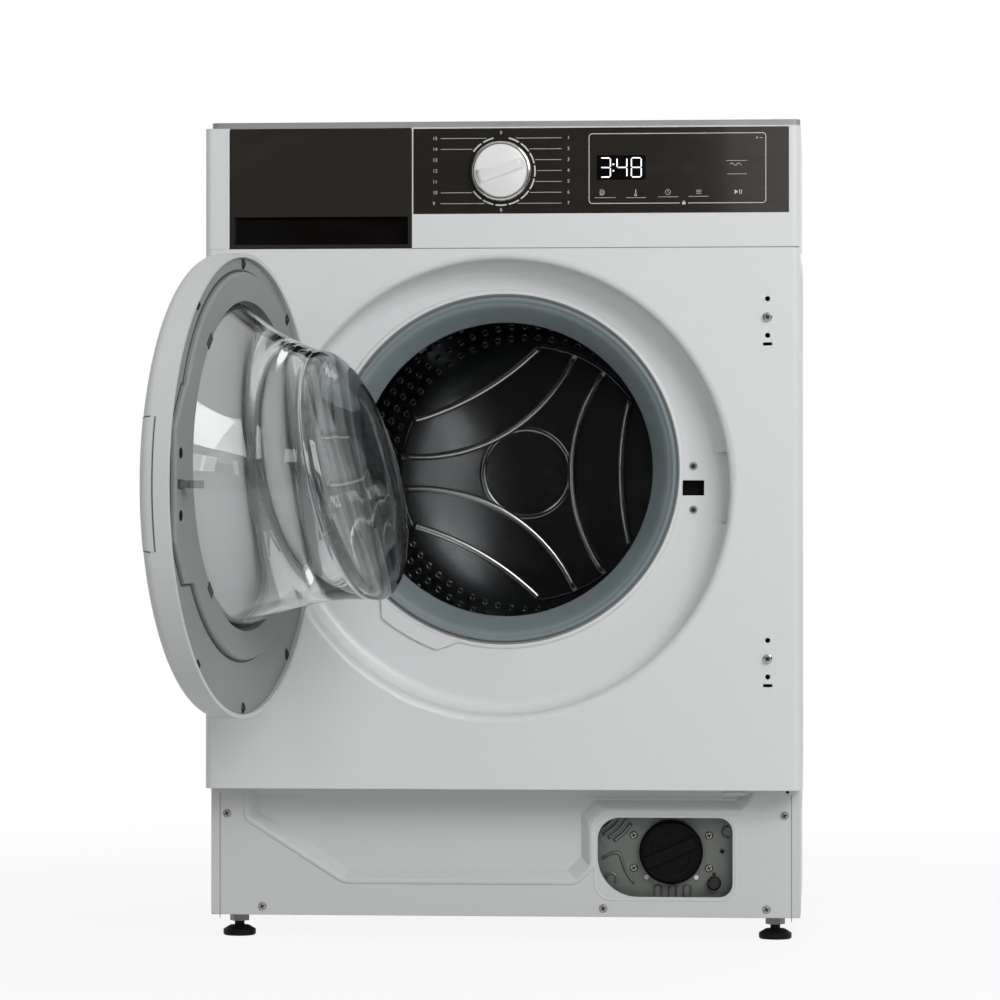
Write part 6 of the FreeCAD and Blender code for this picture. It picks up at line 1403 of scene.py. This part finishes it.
class WASHER_OT_rear(bpy.types.Operator):
    """Fit the rear cover's screws, the vents and the transport caps"""

    bl_idname = "washer.rear"
    bl_label = "Rear fittings"

    def screws(self):
        shape = Shape()
        head = [(4.2, 0.0), (4.0, 0.9), (3.0, 1.5), (1.6, 1.6)]
        spots = [(x, REAR, z) for x in (-194.0, 0.0, 194.0) for z in (197.0, 683.0)]
        spots += [(x, REAR, z) for x in (-194.0, 194.0) for z in (330.0, 550.0)]
        spots += [(x, BACK_SKIN, z) for x in (-288.0, 288.0) for z in (60.0, 300.0, 560.0, 790.0)]
        for spot in spots:
            shape.cup(spot, BACKWARD, head, 18)
            # Driver recess in painted shade.
            shape.recess(spot, BACKWARD, 1.6, 2.2, 1)
        shape.finished("rear_screws", [finish_of("nickel_steel"), deep_black()], "cabinet", "nickel_steel")

    def caps(self):
        """Caps of the transport holes, and the vent slots in painted shade with their rims."""
        shape = Shape()
        for x, z in [(x, z) for z in (250.0, 640.0) for x in (-236.0, 236.0)]:
            shape.cup((x, BACK_SKIN, z), BACKWARD,
                      [(15.0, 0.0), (14.6, 1.4), (13.0, 2.0), (10.0, 2.1), (9.4, 1.2)], 40)
            shape.cup((x, BACK_SKIN, z), BACKWARD, [(4.2, 1.1), (4.0, 1.9), (3.2, 2.1)], 20)
        vents, lowest, pitch, half = 9, 716.0, 7.0, 1.6
        for row in range(vents):
            z = lowest + row * pitch
            outline = rounded(60.0, 130.0, z - half, z + half, 1.5, 4)
            shape.sheet(outline, BACK_SKIN + 0.12, 1)
            shape.line(outline, 0.9, BACK_SKIN + 0.2, 2, True)
        finishes = [finish_of("black_plastic"), deep_black(), finish_of("white_enamel")]
        shape.finished("transport_caps", finishes, "cabinet", "black_plastic")

    def execute(self, context):
        self.screws()
        self.caps()
        return {"FINISHED"}


class WASHER_OT_studio(bpy.types.Operator):
    """Set the floor, the soft lamps, the room and the camera"""

    bl_idname = "washer.studio"
    bl_label = "Studio"

    def shown(self, finish):
        """What the camera sees straight, in a reflection and through glass."""
        return [finish.node("ShaderNodeLightPath", output=name)
                for name in ("Is Camera Ray", "Is Glossy Ray", "Is Transmission Ray")]

    def floor(self):
        """White as it runs out of the picture; beside the object it keeps the shadow."""
        finish = Finish("pale_floor")
        camera, gloss, through = self.shown(finish)
        where = finish.place()
        away = finish.node("ShaderNodeVectorMath", {"operation": "LENGTH"}, {0: where}, 1)
        ahead = 1 - finish.node("ShaderNodeSeparateXYZ", None, {0: where}, 1).between(-2.7, -1.7)
        unlit = gloss * ahead
        tone = finish.mix(finish.noise(3.0, 3.0) * 0.3, (0.64, 0.64, 0.64), (0.6, 0.6, 0.6))
        tone = finish.mix(unlit, tone, (0.015, 0.015, 0.015))
        matt = finish.node("ShaderNodeBsdfDiffuse", None, {"Color": tone})
        lit = finish.node("ShaderNodeEmission", None, {"Color": (1.0, 1.0, 1.0), "Strength": 1.0})
        white = (camera + through) * (0.9 + 0.1 * away.between(0.6, 1.7)) + gloss * (1 - ahead) * 0.6
        finish.surface(finish.node("ShaderNodeMixShader", None, {0: white, 1: matt, 2: lit}))
        shape = Shape()
        half, near, far = 30000, -12000, 60000
        corners = ((-half, near), (half, near), (half, far), (-half, far))
        shape.face([shape.point(x, y, 0.0) for x, y in corners])
        shape.finished("floor", [finish.material], None)

    def room(self):
        """White room that is dark before the machine for what mirrors it."""
        world = bpy.data.worlds.new("studio")
        bpy.context.scene.world = world
        world.use_nodes = True
        finish = Finish("studio", world.node_tree)
        camera, gloss, through = self.shown(finish)
        where = finish.node("ShaderNodeTexCoord", output="Generated")
        deep = finish.node("ShaderNodeSeparateXYZ", None, {0: where}, 1)
        up = finish.node("ShaderNodeSeparateXYZ", None, {0: where}, 2)
        behind = deep.between(-0.35, 0.25)
        above = up.between(0.25, 0.8)
        pale = 1 - (1 - behind) * (1 - above * 0.7)
        level = 0.43 * (1 - gloss) + (0.012 + 0.95 * pale) * gloss
        level = level * (1 - through) + through * (0.3 + 0.7 * pale)
        level = level * (1 - camera) + camera
        sky = finish.node("ShaderNodeBackground", None, {"Color": (1.0, 1.0, 1.0), "Strength": level})
        finish.node("ShaderNodeOutputWorld", None, {"Surface": sky})

    def lamp(self, name, at, towards, wide, tall, power):
        light = bpy.data.lights.new(name, "AREA")
        light.shape, light.size, light.size_y, light.energy = "RECTANGLE", wide, tall, power
        made = bpy.data.objects.new(name, light)
        made.location = at
        made.rotation_euler = (Vector(towards) - Vector(at)).to_track_quat("-Z", "Y").to_euler()
        made.visible_camera = False
        bpy.context.scene.collection.objects.link(made)

    def execute(self, context):
        self.floor()
        self.room()
        middle = (0.0, -0.25, 0.45)
        self.lamp("key", (1.35, -2.5, 1.7), middle, 1.6, 1.2, 40.0)
        self.lamp("front_card", (0.8, -4.6, 1.5), middle, 1.4, 1.3, 5.0)
        self.lamp("left_card", (-1.3, -4.4, 1.7), middle, 0.5, 0.9, 6.0)
        self.lamp("right_card", (1.5, -4.0, 0.7), middle, 0.4, 0.7, 3.5)
        self.lamp("rear", (0.9, 3.0, 2.0), (0.0, 0.2, 0.45), 1.6, 1.6, 40.0)
        lens = bpy.data.cameras.new("photo_view")
        lens.lens, lens.sensor_width, lens.clip_end = 153.07, 36.0, 200.0
        view = bpy.data.objects.new("photo_view", lens)
        view.location = (0.3146, -4.498, 0.4195)
        view.rotation_euler = (math.radians(90.30), 0.0, math.radians(4.27))
        context.scene.collection.objects.link(view)
        context.scene.camera = view
        context.scene.view_settings.view_transform = "Standard"
        return {"FINISHED"}


OPERATORS = (
    WASHER_OT_finishes, WASHER_OT_dial, WASHER_OT_display, WASHER_OT_panel_print, WASHER_OT_knob,
    WASHER_OT_gasket, WASHER_OT_drum_holes, WASHER_OT_star_edges, WASHER_OT_glass_bowl, WASHER_OT_door_trim,
    WASHER_OT_filter_plate, WASHER_OT_filter_cap, WASHER_OT_plinth, WASHER_OT_seams,
    WASHER_OT_side_pressings, WASHER_OT_screws, WASHER_OT_hoses, WASHER_OT_belt, WASHER_OT_rear,
    WASHER_OT_studio)


class WASHER_PT_parts(bpy.types.Panel):
    """Lists the settings and the operators"""

    bl_idname = "WASHER_PT_parts"
    bl_label = "Washing Machine"
    bl_space_type = "VIEW_3D"
    bl_region_type = "UI"
    bl_category = "Washing Machine"

    def draw(self, context):
        for operator in OPERATORS:
            self.layout.operator(operator.bl_idname)
        for group in (context.scene.washer_sizes, context.scene.washer_colours):
            for name in group.__annotations__:
                self.layout.prop(group, name)


CLASSES = (WasherSizes, WasherColours, *OPERATORS, WASHER_PT_parts)


def register():
    for entry in CLASSES:
        bpy.utils.register_class(entry)
    bpy.types.Scene.washer_sizes = bpy.props.PointerProperty(type=WasherSizes)
    bpy.types.Scene.washer_colours = bpy.props.PointerProperty(type=WasherColours)


def unregister():
    del bpy.types.Scene.washer_colours
    del bpy.types.Scene.washer_sizes
    for entry in reversed(CLASSES):
        bpy.utils.unregister_class(entry)


def main():
    register()
    for operator in OPERATORS:
        group, name = operator.bl_idname.split(".")
        getattr(getattr(bpy.ops, group), name)()


if __name__ == "__main__":
    main()
